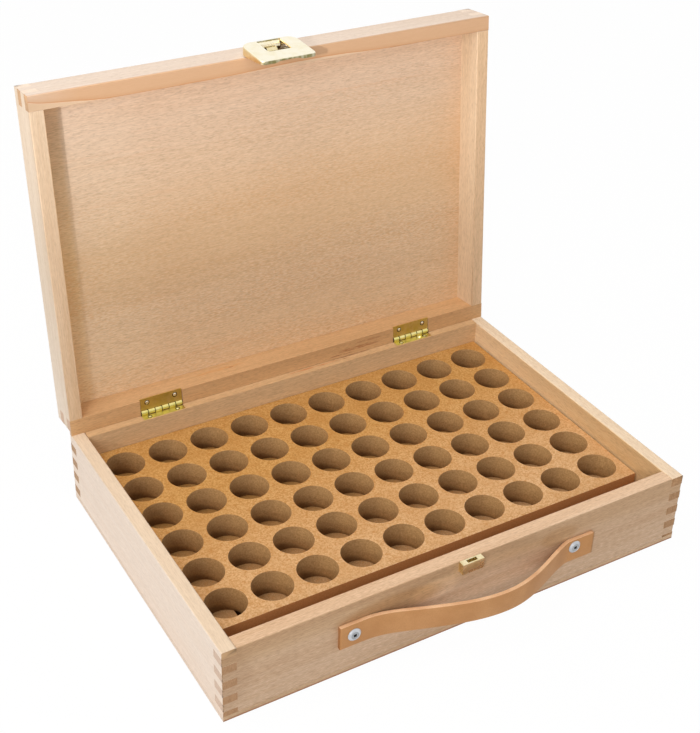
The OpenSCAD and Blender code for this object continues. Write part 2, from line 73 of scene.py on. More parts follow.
JOINTS = {j["name"]: j for j in frame["joints"]}
HINGE = [c / MM for c in JOINTS["lid_hinge"]["pos_m"]]
OPEN_ANGLE = math.radians(JOINTS["lid_hinge"]["range_deg"][1])
base_low, base_high = corner_box("base_left_wall")
XL, YF, YB, RIM = base_low[0], base_low[1], base_high[1], base_high[2]
XR = -XL
SIDE = base_high[0] - base_low[0]
FRONT = corner_box("base_front_wall")[1][1] - YF
REAR = YB - corner_box("base_rear_wall")[0][1]
BOTTOM = corner_box("base_bottom_panel")[1][2]
plate_low, plate_high = corner_box("bottle_plate")
print("case", XR - XL, "x", YB - YF, "rim at", RIM, "walls", SIDE, FRONT, round(REAR, 2), "plate top", plate_high[2])

# %% [markdown]
# ## The lid's own frame
# The lid is easiest to think about when it is shut: its rim is level and its rails are square to the
# axes. So each lid piece is drawn shut and its points are then turned about the hinge pin by the
# angle at which the lid stands open.

# %% Turn from shut to open
LID_GAP, LID_H = 0.3, 27.0              # between the shut lid and the base, and the lid's height
LID_RIM = RIM + LID_GAP
LID_TOP = LID_RIM + LID_H
FINGER_LIFT = 3.0                       # the lid stands forward of the base, so that a finger can raise it
LID_YF, LID_YB = YF - FINGER_LIFT, YB - FINGER_LIFT
LID_REAR = 9.33                         # thickness of the lid's rear rail
PANEL_LOW, PANEL_T, PANEL_TUCK = LID_RIM + 21.0, 5.0, 0.3
shut_to_open = Matrix.Rotation(-OPEN_ANGLE, 4, "X")
pivot = Matrix.Translation((0, HINGE[1] * MM, HINGE[2] * MM))
OPENED = pivot @ shut_to_open @ pivot.inverted()
print("lid opens by", round(math.degrees(OPEN_ANGLE), 1), "degrees about", [round(c, 2) for c in HINGE])

# %% [markdown]
# ## The camera
# The photograph was taken from the left of the front and from above, with a moderate telephoto lens.
# The heading, tilt and roll below are turned into three axes by hand, because that keeps each number
# readable. The small shift stands for a photograph that was trimmed after it was taken.

# %% Camera
WIDE, HIGH = 700, 733                                # the picture, in pixels
FOCAL_PIXELS, MIDDLE_X, MIDDLE_Y = 1357.29, 346.67, 328.15
CAMERA_AT = (-0.421509, -0.657659, 0.636347)         # metres
HEADING, TILT, ROLL = 31.0985, 31.2929, 1.6203       # degrees
SENSOR = 36.0


def aim(heading, tilt, roll):
    """The camera's rotation: heading to the right of +Y, tilt below the horizon and roll, in degrees."""
    h, t, r = (math.radians(a) for a in (heading, tilt, roll))
    forward = Vector((math.sin(h) * math.cos(t), math.cos(h) * math.cos(t), -math.sin(t)))
    level = Vector((math.cos(h), -math.sin(h), 0))
    upright = level.cross(forward)
    right = level * math.cos(r) + upright * math.sin(r)
    up = upright * math.cos(r) - level * math.sin(r)
    return Matrix((right, up, -forward)).transposed()


def into_scene(name, data):
    """A new object in the scene."""
    ob = bpy.data.objects.new(name, data)
    bpy.context.scene.collection.objects.link(ob)
    return ob


camera_data = bpy.data.cameras.new("camera")
camera_data.sensor_width, camera_data.sensor_fit = SENSOR, "AUTO"
camera_data.lens = SENSOR * FOCAL_PIXELS / HIGH
camera_data.shift_x = (WIDE / 2 - MIDDLE_X) / HIGH
camera_data.shift_y = (MIDDLE_Y - HIGH / 2) / HIGH
camera_data.clip_start, camera_data.clip_end = 0.01, 50.0
camera = into_scene("camera", camera_data)
camera.matrix_world = Matrix.Translation(CAMERA_AT) @ aim(HEADING, TILT, ROLL).to_4x4()
bpy.context.scene.camera = camera
print("lens", round(camera_data.lens, 2), "shift", round(camera_data.shift_x, 4), round(camera_data.shift_y, 4))

# %% [markdown]
# ## Writing materials as sums
# A material is a graph of nodes, and a graph of sums is hard to read. The class below wraps one
# socket, so that Python's own signs add the Math nodes: `1 - mask * 0.5` makes two nodes and returns
# a new wrapped socket. Colours go through a Mix node instead, because a Math node would turn a colour
# grey.

# %% Wrap a socket
class Wire:
    """A socket of a node graph that works in Python expressions."""

    def __init__(self, graph, socket):
        self.graph, self.socket = graph, socket

    def _sum(self, operation, *terms):
        return self.graph.node("ShaderNodeMath", {"operation": operation}, dict(enumerate(terms)))

    def __add__(self, other): return self._sum("ADD", self, other)
    def __radd__(self, other): return self._sum("ADD", other, self)
    def __sub__(self, other): return self._sum("SUBTRACT", self, other)
    def __rsub__(self, other): return self._sum("SUBTRACT", other, self)
    def __mul__(self, other): return self._sum("MULTIPLY", self, other)
    def __truediv__(self, other): return self._sum("DIVIDE", self, other)
    def __pow__(self, other): return self._sum("POWER", self, other)
    def __gt__(self, other): return self._sum("GREATER_THAN", self, other)
    def __lt__(self, other): return self._sum("LESS_THAN", self, other)
    def __abs__(self): return self._sum("ABSOLUTE", self)

    def least(self, other): return self._sum("MINIMUM", self, other)
    def most(self, other): return self._sum("MAXIMUM", self, other)

    def ramp(self, low, high, to_low=0.0, to_high=1.0, shape="SMOOTHSTEP"):
        """Carries this value from low..high to to_low..to_high, and holds it outside."""
        return self.graph.node("ShaderNodeMapRange", {"interpolation_type": shape, "clamp": True},
                               {"Value": self, "From Min": low, "From Max": high, "To Min": to_low, "To Max": to_high})

    def rise(self, start, end):
        """0 before start and 1 past end, both in millimetres."""
        return self.ramp(start * MM, end * MM)

    def fall(self, start, end):
        """1 before start and 0 past end, both in millimetres."""
        return self.ramp(start * MM, end * MM, 1.0, 0.0)


# %% [markdown]
# `Graph` makes every other node. Its settings are set first, because they decide which sockets a node
# has, and then its sockets take numbers, colours or wires. `Finish` is the graph of one material with
# one surface shader, whose plain numbers are set on the shader itself.

# %% Make materials
def tone(red, green, blue):
    """A colour as it is read from a screen, 0 to 255, as the renderer needs it."""
    def linear(c):
        c = c / 255
        return c / 12.92 if c <= 0.04045 else ((c + 0.055) / 1.055) ** 2.4
    return (linear(red), linear(green), linear(blue), 1.0)


def scaled(colour, *factors):
    """A colour times one factor, or times one factor for each of red, green and blue."""
    factors = factors * 3 if len(factors) == 1 else factors
    return tuple(min(1.0, c * f) for c, f in zip(colour, factors)) + (1,)


class Graph:
    """A graph of nodes."""

    def __init__(self, tree):
        self.tree = tree
        tree.nodes.clear()

    def _fill(self, socket, value):
        if isinstance(value, Wire):
            self.tree.links.new(value.socket, socket)
        else:
            socket.default_value = value

    def node(self, kind, settings=None, sockets=None, out=None):
        """Makes a node: settings first, then its sockets by name or number. Returns one output."""
        made = self.tree.nodes.new(kind)
        for key, value in (settings or {}).items():
            setattr(made, key, value)
        for key, value in (sockets or {}).items():
            self._fill(made.inputs[key], value)
        return Wire(self, made.outputs[out] if out else next(o for o in made.outputs if o.enabled))

    def mix(self, amount, first, second, blend="MIX"):
        """A colour between two others."""
        made = self.tree.nodes.new("ShaderNodeMix")
        made.data_type, made.blend_type = "RGBA", blend
        for number, value in ((0, amount), (6, first), (7, second)):
            self._fill(made.inputs[number], value)
        return Wire(self, made.outputs[2])

    def coats(self, colour, *coats):
        """Lays further colours over a colour; each coat is (how much, red, green, blue)."""
        for amount, *shade in coats:
            colour = self.mix(amount, colour, tone(*shade))
        return colour

    def tinted(self, colour, tint):
        """A colour multiplied by a tint."""
        return self.mix(1.0, colour, tint if isinstance(tint, Wire) else (*tint, 1), blend="MULTIPLY")

    def graded(self, colour, along, stops):
        """Multiplies a colour by a tint that changes gradually; stops lists (place in millimetres, tint)."""
        tint = (*stops[0][1], 1)
        for (start, _), (end, after) in zip(stops, stops[1:]):
            tint = self.mix(along.ramp(start * MM, end * MM, shape="LINEAR"), tint, (*after, 1))
        return self.mix(1.0, colour, tint, blend="MULTIPLY")

    def part(self, vector, axis):
        return self.node("ShaderNodeSeparateXYZ", None, {"Vector": vector}, out=axis)

    def parts(self, vector):
        split = self.part(vector, "X").socket.node
        return [Wire(self, o) for o in split.outputs]

    def place(self):
        """Where a point lies on the piece, in metres."""
        return self.node("ShaderNodeTexCoord", out="Object")

    def facing(self, normal="True Normal"):
        """Which way the surface looks, in the piece's own axes."""
        return self.node("ShaderNodeVectorTransform",
                         {"vector_type": "NORMAL", "convert_from": "WORLD", "convert_to": "OBJECT"},
                         {"Vector": self.node("ShaderNodeNewGeometry", out=normal)})

    def noise(self, where, scale, detail=2.0, rough=0.5, bend=0.0):
        return self.node("ShaderNodeTexNoise", {"noise_dimensions": "3D"},
                         {"Vector": where, "Scale": scale, "Detail": detail, "Roughness": rough, "Distortion": bend},
                         out="Fac")

    def drawn(self, where, scales, shift=(0.0, 0.0, 0.0), **kind):
        """Noise with one scale for each axis: a small one draws the pattern out along that axis."""
        space = self.node("ShaderNodeMapping", {"vector_type": "POINT"},
                          {"Vector": where, "Scale": scales, "Location": shift})
        return self.noise(space, 1.0, **kind)

    def bump(self, height, depth, strength=1.0):
        """Turns a height into a tilted normal. depth is the height of one unit, in metres."""
        return self.node("ShaderNodeBump", None, {"Height": height, "Distance": depth, "Strength": strength},
                         out="Normal")


class Finish(Graph):
    """A material made of one surface shader and the nodes that feed it."""

    def __init__(self, name, **plain):
        self.material = bpy.data.materials.new(name)
        self.material.use_nodes = True
        super().__init__(self.material.node_tree)
        self.surface = self.tree.nodes.new("ShaderNodeBsdfPrincipled")
        self.output = self.tree.nodes.new("ShaderNodeOutputMaterial")
        self.tree.links.new(self.surface.outputs[0], self.output.inputs["Surface"])
        self.feed(**plain)

    def feed(self, **values):
        for socket, value in values.items():
            self._fill(self.surface.inputs[socket.replace("_", " ")], value)
        return self


def dress(node_or_piece, finish):
    """Gives one finish to a model node or to a new piece."""
    ob = NODES[node_or_piece] if isinstance(node_or_piece, str) else node_or_piece
    if ob.data.materials:
        ob.data.materials.clear()          # clearing also forgets which face had which finish, so a new mesh skips it
    ob.data.materials.append(finish.material)
    return ob


print("material tools ready")

# %% [markdown]
# ## Beech
# The walls, rails and panel are beech: pale and even, with soft growth bands, very fine fibres and the
# short brown flecks that make beech easy to know. A picture of wood would repeat and would not match
# round a corner, so the wood is a solid: each point's colour comes from its place in the board. The
# fibres run along one axis, and where a board ends they are cut across and look darker and redder.
# `along` is that axis; the lid's boards are first turned back to the shut position, so that one
# recipe serves them all.

# %% Beech recipe
def beech(name, along, tones, seed, lid=False, fleck=1.0, marks=None, outer=None, calm=None):
    """One board's wood. tones are the two tones of its bands and the two tones of its cut ends.
    marks adds what only this board has; outer is an axis, a side and a tint for the faces on that side, painted light
    that this side catches; calm is a height in millimetres above which cut ends are nearly as pale as the board."""
    pale, deep, end_pale, end_deep = (tone(*t) for t in tones)
    wood = Finish(name, Specular_IOR_Level=0.3)
    spot, facing = wood.place(), wood.facing()
    if lid:
        turn = {"rotation_type": "X_AXIS"}
        spot = wood.node("ShaderNodeVectorRotate", turn,
                         {"Vector": spot, "Center": (0, HINGE[1] * MM, HINGE[2] * MM), "Angle": OPEN_ANGLE})
        facing = wood.node("ShaderNodeVectorRotate", turn, {"Vector": facing, "Angle": OPEN_ANGLE})

    def lines(lengthwise, across, **kind):
        scales = tuple(lengthwise if axis == along else across for axis in "XYZ")
        return wood.drawn(spot, scales, shift=(seed * 0.37, seed * 0.61, seed * 0.23), **kind)

    # growth bands: broad, soft and slightly wavy, with finer bands between them
    waves = lines(1.6, 34, detail=2.5, rough=0.5, bend=0.5)
    fine = lines(9, 330, detail=3.0, rough=0.6, bend=0.3)
    # fibres: hair-fine lines along the board
    fibre = lines(60, 1400, detail=2.0, rough=0.6)
    # flecks: short dashes, one to three millimetres long, darker than the wood, with pale dashes between them
    dashes = lines(260, 1700, detail=1.5, rough=0.5, bend=0.3)
    colour = wood.mix(waves.ramp(0.3, 0.7) * 0.65 + fine.ramp(0.25, 0.75) * 0.35, pale, deep)
    colour = wood.mix(dashes.ramp(0.52, 0.7) * 0.38 * fleck, colour, scaled(deep, 0.66))
    colour = wood.mix(dashes.ramp(0.48, 0.34) * 0.28 * fleck, colour, scaled(pale, 1.18))
    colour = wood.mix(fibre.ramp(0.3, 0.7, 0.0, 0.24), colour, scaled(deep, 0.7))
    if marks:
        colour = marks(wood, spot, colour)
    # painted light: the faces on one side of the board are tinted for the light that falls on them
    if outer:
        axis, side, tint = outer
        colour = wood.mix((wood.part(facing, axis) * side).ramp(0.6, 0.9), colour, wood.tinted(colour, tint))
    # end grain: where the face looks along the fibres
    cut = abs(wood.part(facing, along)).ramp(0.7, 0.95)
    pores = wood.drawn(spot, (1300, 1300, 500), detail=2.0, rough=0.6)
    ends = wood.mix(pores.ramp(0.3, 0.7), end_pale, end_deep)
    if calm:
        ends = wood.coats(ends, (wood.part(spot, "Z").rise(calm, calm + 1), 188, 152, 114))
    colour = wood.mix(cut, colour, ends)
    height = fibre * 0.5 + fine * 0.2 - dashes * 0.3
    return wood.feed(Base_Color=colour, Roughness=0.5 + fibre * 0.16 + cut * 0.1,
                     Normal=wood.bump(height, 0.00008, 0.5))


print("beech recipe ready")

# %% [markdown]
# ### Marks that single boards have
# Beech is even, so the few marks catch the eye: a growth line that wanders along the lid's front rail,
# a small knot on the rear rail, dark streaks where the saw met a flaw. A mark is a distance turned
# into a mask: the distance from a line whose height changes along the board, or from one point.
# Broad tints along a board, and a few soft clouds, are painted light and shade: light that the lamps and the case throw
# on it, and shadows that the case casts on itself.

# %% Marks
def bent_line(wood, along, points):
    """The height of a line through points, in metres, as a smooth value along the board."""
    low, high = points[0][0], points[-1][0]
    floor, roof = min(q for _, q in points), max(q for _, q in points)
    places = [((p - low) / (high - low), (q - floor) / (roof - floor)) for p, q in points]
    curve = wood.node("ShaderNodeFloatCurve", None, {"Value": along.ramp(low * MM, high * MM, shape="LINEAR")})
    mapping = curve.socket.node.mapping
    dots = mapping.curves[0].points
    dots[0].location, dots[-1].location = places[0], places[-1]
    for place in places[1:-1]:
        dots.new(*place)
    mapping.update()
    return curve * ((roof - floor) * MM) + floor * MM


def oval(wood, spot, centre, radii):
    """1 inside an oval blot, fading to 0 at its edge."""
    total = 0.0
    for part, c, r in zip(wood.parts(spot), centre, radii):
        total = ((part - c * MM) / (r * MM)) ** 2.0 + total
    return total.ramp(0.35, 1.0, 1.0, 0.0)


def blots(wood, spot, colour, spots):
    """Ragged blots; spots lists (centre, radii, colour, strength)."""
    ragged = wood.drawn(spot, (150, 900, 900), detail=3.0, rough=0.7).ramp(0.35, 0.6)
    return wood.coats(colour, *((oval(wood, spot, centre, radii) * ragged * strength, *shade)
                                for centre, radii, shade, strength in spots))


def front_wall_marks(wood, spot, colour):
    z = wood.part(spot, "Z")
    # painted light: paler and cooler low down, darker and warmer toward the upper edge
    colour = wood.graded(colour, z, [(14, (1.07, 1.14, 1.28)), (34, (0.97, 0.97, 1.0)), (47, (0.84, 0.77, 0.68))])
    # the pale clouds above the strap are painted light, the dark clouds above the strap's two ends are its painted
    # shadows, and the left corner is darker
    for x, z, radii, tint in ((5, 36, (90, 8, 17), (1.26, 1.3, 1.33)), (-28, 41, (22, 8, 9), (1.2, 1.22, 1.22)),
                              (-180, 34, (24, 8, 34), (0.9, 0.88, 0.86)), (-62, 41, (46, 8, 12), (0.84, 0.74, 0.6)),
                              (72, 45, (18, 8, 9), (0.9, 0.84, 0.74))):
        colour = wood.mix(oval(wood, spot, (x, YF, z), radii), colour, wood.tinted(colour, tint))
    return colour


def front_rail_marks(wood, spot, colour):
    x, y, z = wood.parts(spot)
    line = bent_line(wood, x, [(-180, -123.9), (-165, -121.2), (-152, -119.9), (-133, -118.0), (-118, -117.2),
                               (-96, -117.1), (-60, -117.6), (-20, -118.2), (10, -119.2), (43, -119.4), (75, -118.0),
                               (106, -117.2), (137, -116.8), (180, -116.6)])
    wander = (wood.drawn(spot, (60, 300, 300), detail=2.0) - 0.5) * (0.8 * MM)
    gap = y - line + wander
    on_rim = z.fall(LID_RIM + 0.8, LID_RIM + 1.6)
    above = gap.fall(0.2, 0.7)
    colour = wood.coats(colour, (on_rim * above * 0.85, 204, 160, 121),
                        (on_rim * gap.rise(-3.5, 0.4) * above * 0.45, 196, 144, 100),
                        (on_rim * gap.rise(0.4, 0.9) * 0.92, 214, 183, 152))
    # at its left end the rail is nearly one tone on both sides of the line
    above_tint = wood.graded(colour, x, [(-178, (1.0, 1.13, 1.34)), (-146, (1.0, 1.0, 1.0))])
    below_tint = wood.graded(colour, x, [(-178, (0.92, 0.9, 0.87)), (-146, (1.0, 1.0, 1.0))])
    colour = wood.mix(on_rim, colour, wood.mix(above, below_tint, above_tint))
    return wood.coats(colour, (on_rim * abs(gap).fall(0.2, 0.5) * 0.5, 196, 134, 88))


def rear_rail_marks(wood, spot, colour):
    streaks = wood.drawn(spot, (8, 420, 420), detail=3.0, rough=0.6)
    colour = wood.coats(colour, (streaks.ramp(0.55, 0.75) * 0.35, 170, 112, 66))
    return blots(wood, spot, colour, [
        ((-46, 112.7, 69.7), (2.2, 1.2, 1.3), (140, 84, 30), 0.9),
        ((-55, 112.7, 70.5), (26, 2, 2.2), (206, 140, 76), 0.5),
        ((60, 120.0, LID_RIM), (24, 1.5, 2), (150, 86, 44), 0.6),
        ((45, 122.6, LID_RIM), (12, 0.8, 2), (132, 66, 34), 0.7),
        ((70, 116.0, LID_RIM), (14, 1.0, 2), (156, 92, 50), 0.5)])


def rear_wall_marks(wood, spot, colour):
    return blots(wood, spot, colour, [
        ((18, 120.0, 57), (26, 1.1, 2), (206, 120, 62), 0.7),
        ((52, 121.5, 57), (22, 0.7, 2), (140, 72, 40), 0.8),
        ((44, 119.4, 57), (8, 0.6, 2), (150, 84, 46), 0.7)])


def panel_marks(wood, spot, colour):
    x, y, z = wood.parts(spot)
    # painted light and shade: paler next to the front rail and next to the rear rail, a little darker between them
    colour = wood.graded(colour, y, [(-115, (1.12, 1.17, 1.28)), (-100, (1.0, 1.05, 1.16)), (10, (0.94, 0.94, 0.89)),
                                     (60, (0.97, 0.96, 0.9)), (110, (1.1, 1.1, 1.02))])
    # ripple: short waves, less than a millimetre high, where the plane met curly fibres
    bands = wood.drawn(spot, (4, 26, 1), detail=2.0, rough=0.5)
    ripple = wood.drawn(spot, (300, 1300, 1), detail=1.5, rough=0.5, bend=0.5)
    lively = y.ramp(-90 * MM, 20 * MM, 0.45, 1.0)
    streaks = wood.drawn(spot, (5, 160, 1), detail=3.0, rough=0.6, bend=0.4)
    # a broad, warmer band that slants up to the right
    slant = y + x * 0.09 + wood.drawn(spot, (3, 12, 1), detail=1.0) * 0.05
    colour = wood.coats(colour,
                        (ripple.ramp(0.5, 0.64) * bands.ramp(0.4, 0.62, 0.1, 0.4) * lively, 206, 150, 100),
                        (ripple.ramp(0.5, 0.36) * 0.26 * lively, 240, 214, 186),
                        (streaks.ramp(0.55, 0.8) * 0.22, 214, 158, 112),
                        (slant.rise(-30, 20) * slant.fall(30, 70) * 0.25, 212, 168, 118))
    # painted light: paler and cooler toward the left rail
    colour = wood.graded(colour, x, [(-150, (1.05, 1.1, 1.14)), (-90, (1.0, 1.0, 1.0))])
    # painted light and shade in the left rail's cast shadow on the board's inner face: yellower near the front rail,
    # paler and greener further back
    edge = wood.graded(colour, y, [(-110, (0.98, 0.9, 0.74)), (0, (1.16, 1.13, 0.96)), (100, (1.14, 1.14, 1.04))])
    return wood.mix(x.fall(-157, -151) * z.fall(PANEL_LOW + 0.5, PANEL_LOW + 1), colour, edge)


def lid_left_marks(wood, spot, colour):
    x, y, z = wood.parts(spot)
    # the rim's tone changes along the rail and the outer side grows paler and cooler toward the rear; lit is painted
    # light on the inner side, which lies in the rail's own shade, paler from the middle back
    rim = wood.graded(colour, y, [(-110, (0.99, 1.05, 1.12)), (0, (1.0, 1.0, 1.0)), (110, (0.92, 0.89, 0.84))])
    outer_graded = wood.graded(colour, y, [(0, (1.0, 1.0, 1.0)), (110, (1.05, 1.1, 1.18))])
    lit = wood.graded(colour, y, [(-110, (1.0, 0.96, 0.84)), (-30, (1.28, 1.26, 1.08)), (110, (1.28, 1.27, 1.15))])
    outer_side = wood.mix(x.fall(XL + 0.3, XL + 0.6), rim, outer_graded)
    return wood.mix(x.rise(XL + SIDE - 0.6, XL + SIDE - 0.3), outer_side, lit)


def right_wall_marks(wood, spot, colour):
    x, y, z = wood.parts(spot)
    # painted light on the inner side: yellower toward the front, paler and cooler toward the back, where light from the
    # lid falls on it
    lit = wood.graded(colour, y, [(-60, (1.0, 0.95, 0.84)), (30, (1.04, 1.04, 1.02)), (100, (1.15, 1.2, 1.28))])
    return wood.mix(x.fall(XR - SIDE + 0.3, XR - SIDE + 0.6), colour, lit)


def edge_line(wood, spot, colour):
    # painted shade: a thin darker line along the foot of the bottom panel, where it meets the ground
    return wood.coats(colour, (wood.part(spot, "Z").fall(0.9, 1.5) * 0.85, 158, 108, 76))


print("marks ready")

# %% [markdown]
# No two boards of the case are cut from the same plank, so each has its own two tones and its own seed. A list of tones
# goes from the pale band to the deep band and then to the two tones of the cut ends. The outer tint is painted light:
# the faces on one side of a board are made paler, darker or cooler for the light that falls on them.

# %% Beech finishes
CUT = [(186, 152, 120), (166, 130, 96)]
CUT_RED = [(214, 184, 160), (196, 164, 140)]
CUT_PALE = [(240, 222, 204), (232, 210, 190)]
WOOD = {      # the axis of the fibres, the tones, and what else the board has
    "front wall": ("X", [(216, 188, 158), (188, 152, 116), (214, 190, 170), (196, 168, 148)],
                   dict(marks=front_wall_marks, outer=("Z", 1, (1.5, 1.62, 1.86)))),
    "rear wall": ("X", [(234, 200, 157), (212, 174, 131)] + CUT,
                  dict(marks=rear_wall_marks, outer=("Z", 1, (0.92, 0.86, 0.79)))),
    "left wall": ("Y", [(234, 212, 186), (226, 198, 168), (178, 140, 104), (162, 124, 90)],
                  dict(fleck=0.6, outer=("X", -1, (1.02, 1.10, 1.28)), calm=48.5)),
    "right wall": ("Y", [(248, 226, 200), (232, 204, 170), (176, 138, 102), (156, 118, 82)],
                   dict(marks=right_wall_marks, outer=("X", -1, (0.89, 0.80, 0.64)))),
    "bottom panel": ("X", [(212, 182, 150), (192, 160, 126), (226, 208, 192), (210, 188, 170)],
                     dict(marks=edge_line)),
    "lid front rail": ("X", [(240, 212, 184), (228, 194, 162), (206, 168, 132), (190, 150, 112)],
                       dict(marks=front_rail_marks, outer=("Y", -1, (0.95, 1.06, 1.24)))),
    "lid rear rail": ("X", [(218, 174, 126), (196, 149, 102)] + CUT_RED,
                      dict(marks=rear_rail_marks, outer=("Y", -1, (1.1, 1.16, 1.24)))),
    "lid left rail": ("Y", [(240, 212, 182), (214, 178, 140)] + CUT_PALE,
                      dict(fleck=0.55, marks=lid_left_marks, outer=("X", -1, (0.93, 1.02, 1.14)))),
    "lid right rail": ("Y", [(226, 192, 156), (210, 172, 132)] + CUT_PALE, dict(outer=("X", -1, (1.08, 1.24, 1.42)))),
    "lid panel": ("X", [(228, 196, 164), (216, 180, 144)] + CUT, dict(fleck=1.2, marks=panel_marks)),
}
BEECH = {name: beech("beech " + name, along, tones, seed, lid=name.startswith("lid"), **more)
         for seed, (name, (along, tones, more)) in enumerate(WOOD.items(), 1)}
print(len(BEECH), "boards have their wood")

# %% [markdown]
# ## Boards with finger joints
# Every wall and rail is one board. Its ends are cut into square fingers that lock into the next
# board. A board is an outline with teeth, drawn flat and pushed out to its thickness. Sharp computer
# edges give a board away, so the edges that a hand would touch are then rounded with a bevel, and the
# edges inside a joint stay sharp, because there the boards meet.

# %% Board tools
HAIR = 0.14        # every sharp edge loses this much, so that a joint shows as a fine line


def arc(cx, cy, radius, start, end, steps):
    """Points along an arc, from start to end in degrees."""
    turns = [math.radians(start + (end - start) * k / steps) for k in range(steps + 1)]
    return [(cx + radius * math.cos(a), cy + radius * math.sin(a)) for a in turns]


def rectangle(x0, y0, x1, y1):
    return [(x0, y0), (x1, y0), (x1, y1), (x0, y1)]


def toothed(root, tip, spans, low, high):
    """The points up one end of a board. Each span between low and high is a tooth, from root out to tip,
    or a notch where tip lies inside the board."""
    points = [] if spans[0][0] == low else [(root, low)]
    for a, b in spans:
        points += [(tip, a), (tip, b)] if a == low else [(root, a), (tip, a), (tip, b)]
        points.append((root, b))
    return points + [(root, high)]


def jointed(low, high, *ends):
    """The closed outline of a board from low to high. ends gives (root, tip, spans) for its left and its right end."""
    left, right = (toothed(*end, low, high) for end in ends)
    return left + right[::-1]


def flat_faces(ob):
    """Keeps large faces flat to the light while the rounded edges between them stay smooth."""
    even = ob.modifiers.new("flat faces", "WEIGHTED_NORMAL")
    even.mode, even.weight, even.keep_sharp = "FACE_AREA", 100, True


def piece(mesh, name, *finishes, matrix=None, sharp_above=None):
    """Turns a mesh under construction into an object. Edges that turn by more than sharp_above degrees stay sharp."""
    if matrix:
        bmesh.ops.transform(mesh, matrix=matrix, verts=mesh.verts)
    data = bpy.data.meshes.new(name)
    mesh.to_mesh(data)
    mesh.free()
    if sharp_above:
        data.set_sharp_from_angle(angle=math.radians(sharp_above))
    for finish in finishes:
        data.materials.append(finish.material)
    return into_scene(name, data)


def rounded(mesh, edges, width, segments):
    bmesh.ops.bevel(mesh, geom=edges, offset=width * MM, offset_type="OFFSET", segments=segments, profile=0.5,
                    affect="EDGES", clamp_overlap=True)


def board(name, body, replaced, outline, axis, start, thick, finish, soften, matrix=None):
    """Pushes an outline in millimetres out along axis, rounds edges and hangs the board on its body.
    soften lists (width in mm, test), where test takes an edge's middle and direction."""
    mesh = bmesh.new()
    place = {"X": lambda p, d: (d, *p), "Y": lambda p, d: (p[0], d, p[1]), "Z": lambda p, d: (*p, d)}[axis]
    lower, upper = ([mesh.verts.new(Vector(place(p, depth)) * MM) for p in outline] for depth in (start, start + thick))
    mesh.faces.new(lower)
    mesh.faces.new(upper)
    for i in range(len(outline)):
        j = (i + 1) % len(outline)
        mesh.faces.new((lower[i], lower[j], upper[j], upper[i]))
    bmesh.ops.recalc_face_normals(mesh, faces=mesh.faces)
    for width, test in soften:
        chosen = []
        for edge in mesh.edges:
            a, b = (v.co / MM for v in edge.verts)
            run = b - a
            if run.length > 0.5 and test((a + b) / 2, [abs(c) / run.length > 0.99 for c in run]):
                chosen.append(edge)
        if chosen:
            rounded(mesh, chosen, width, 3)
    rounded(mesh, [e for e in mesh.edges if e.calc_length() > 2 * MM and len(e.link_faces) == 2
                   and e.calc_face_angle(0) > 1.2], HAIR, 1)
    for face in mesh.faces:
        face.smooth = True
    ob = piece(mesh, name, finish, matrix=matrix)
    flat_faces(ob)
    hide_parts(replaced)
    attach(ob, body)


def near(a, b, slack=0.3):
    return abs(a - b) < slack


def fingers(first, height, top):
    """The spans of every other finger, from first up to top."""
    spans, z = [], first
    while z + height < top - 0.99:
        spans.append((z, z + height))
        z += 2 * height
    return spans


FINGER = 6.25
LEFT_FRONT = fingers(8.0, FINGER, RIM)
OTHER = fingers(6.0, FINGER, RIM)
print("fingers at the left front corner:", LEFT_FRONT)

# %% [markdown]
# ### The four walls of the base
# The side walls run the full depth and the front and rear walls fit between them. Seen from above
# only the straight joint shows; seen from the side the fingers alternate. The left front corner is
# set out from another height than the rest, as on the real case.

# %% Front and side walls
WALL_EDGE = 0.9
front_outline = jointed(BOTTOM, RIM, (XL + SIDE, XL, LEFT_FRONT), (XR - SIDE, XR, OTHER))
board("front_wall_board", "case", "base_front_wall", front_outline, "Y", YF, FRONT, BEECH["front wall"], [
    (WALL_EDGE, lambda m, run: run[0] and near(m.z, RIM)),
    (WALL_EDGE, lambda m, run: run[2] and near(abs(m.x), XR) and near(m.y, YF))])


for side, x0, front_spans in (("left", XL, LEFT_FRONT), ("right", XR - SIDE, OTHER)):
    outline = jointed(BOTTOM, RIM, (YF, YF + FRONT, front_spans), (YB, YB - REAR, OTHER))
    board(f"{side}_wall_board", "case", f"base_{side}_wall", outline, "X", x0, SIDE, BEECH[f"{side} wall"], [
        (WALL_EDGE, lambda m, run: run[1] and near(m.z, RIM)),
        (WALL_EDGE, lambda m, run: run[2] and near(abs(m.x), XR) and (near(m.y, YF) or near(m.y, YB)))])
print("front wall outline has", len(front_outline), "points; side walls ready")

# %% [markdown]
# ### Pieces that keep their measured shape
# The rear wall, the lid's rear rail, the bottom panel and the boards inside already have the right
# shape, with their recesses for the hinges. They only need softer edges. A bevel works badly on a
# surface that is cut into triangles, so flat faces are joined first and then the bevel follows.

# %% Ease the edges of measured pieces
def ease(node, finish, width):
    ob = dress(node, finish)
    join = ob.modifiers.new("join flat faces", "DECIMATE")
    join.decimate_type, join.angle_limit = "DISSOLVE", math.radians(0.4)
    soft = ob.modifiers.new("soft edges", "BEVEL")
    soft.width, soft.segments = width * MM, 2
    soft.limit_method, soft.angle_limit = "ANGLE", math.radians(50)
    for face in ob.data.polygons:
        face.use_smooth = True
    flat_faces(ob)


ease("base_rear_wall", BEECH["rear wall"], 0.3)
ease("base_bottom_panel", BEECH["bottom panel"], 0.6)
ease("lid_rear_rail", BEECH["lid rear rail"], 0.3)
print("rear wall, bottom panel and rear rail eased")

# %% [markdown]
# ### The lid's rails and panel
# The front and rear rails own the fingers at the rim, so the joint lines of the lid look different
# from those of the base. The panel lies in grooves; here it simply ends a hair inside the rails.

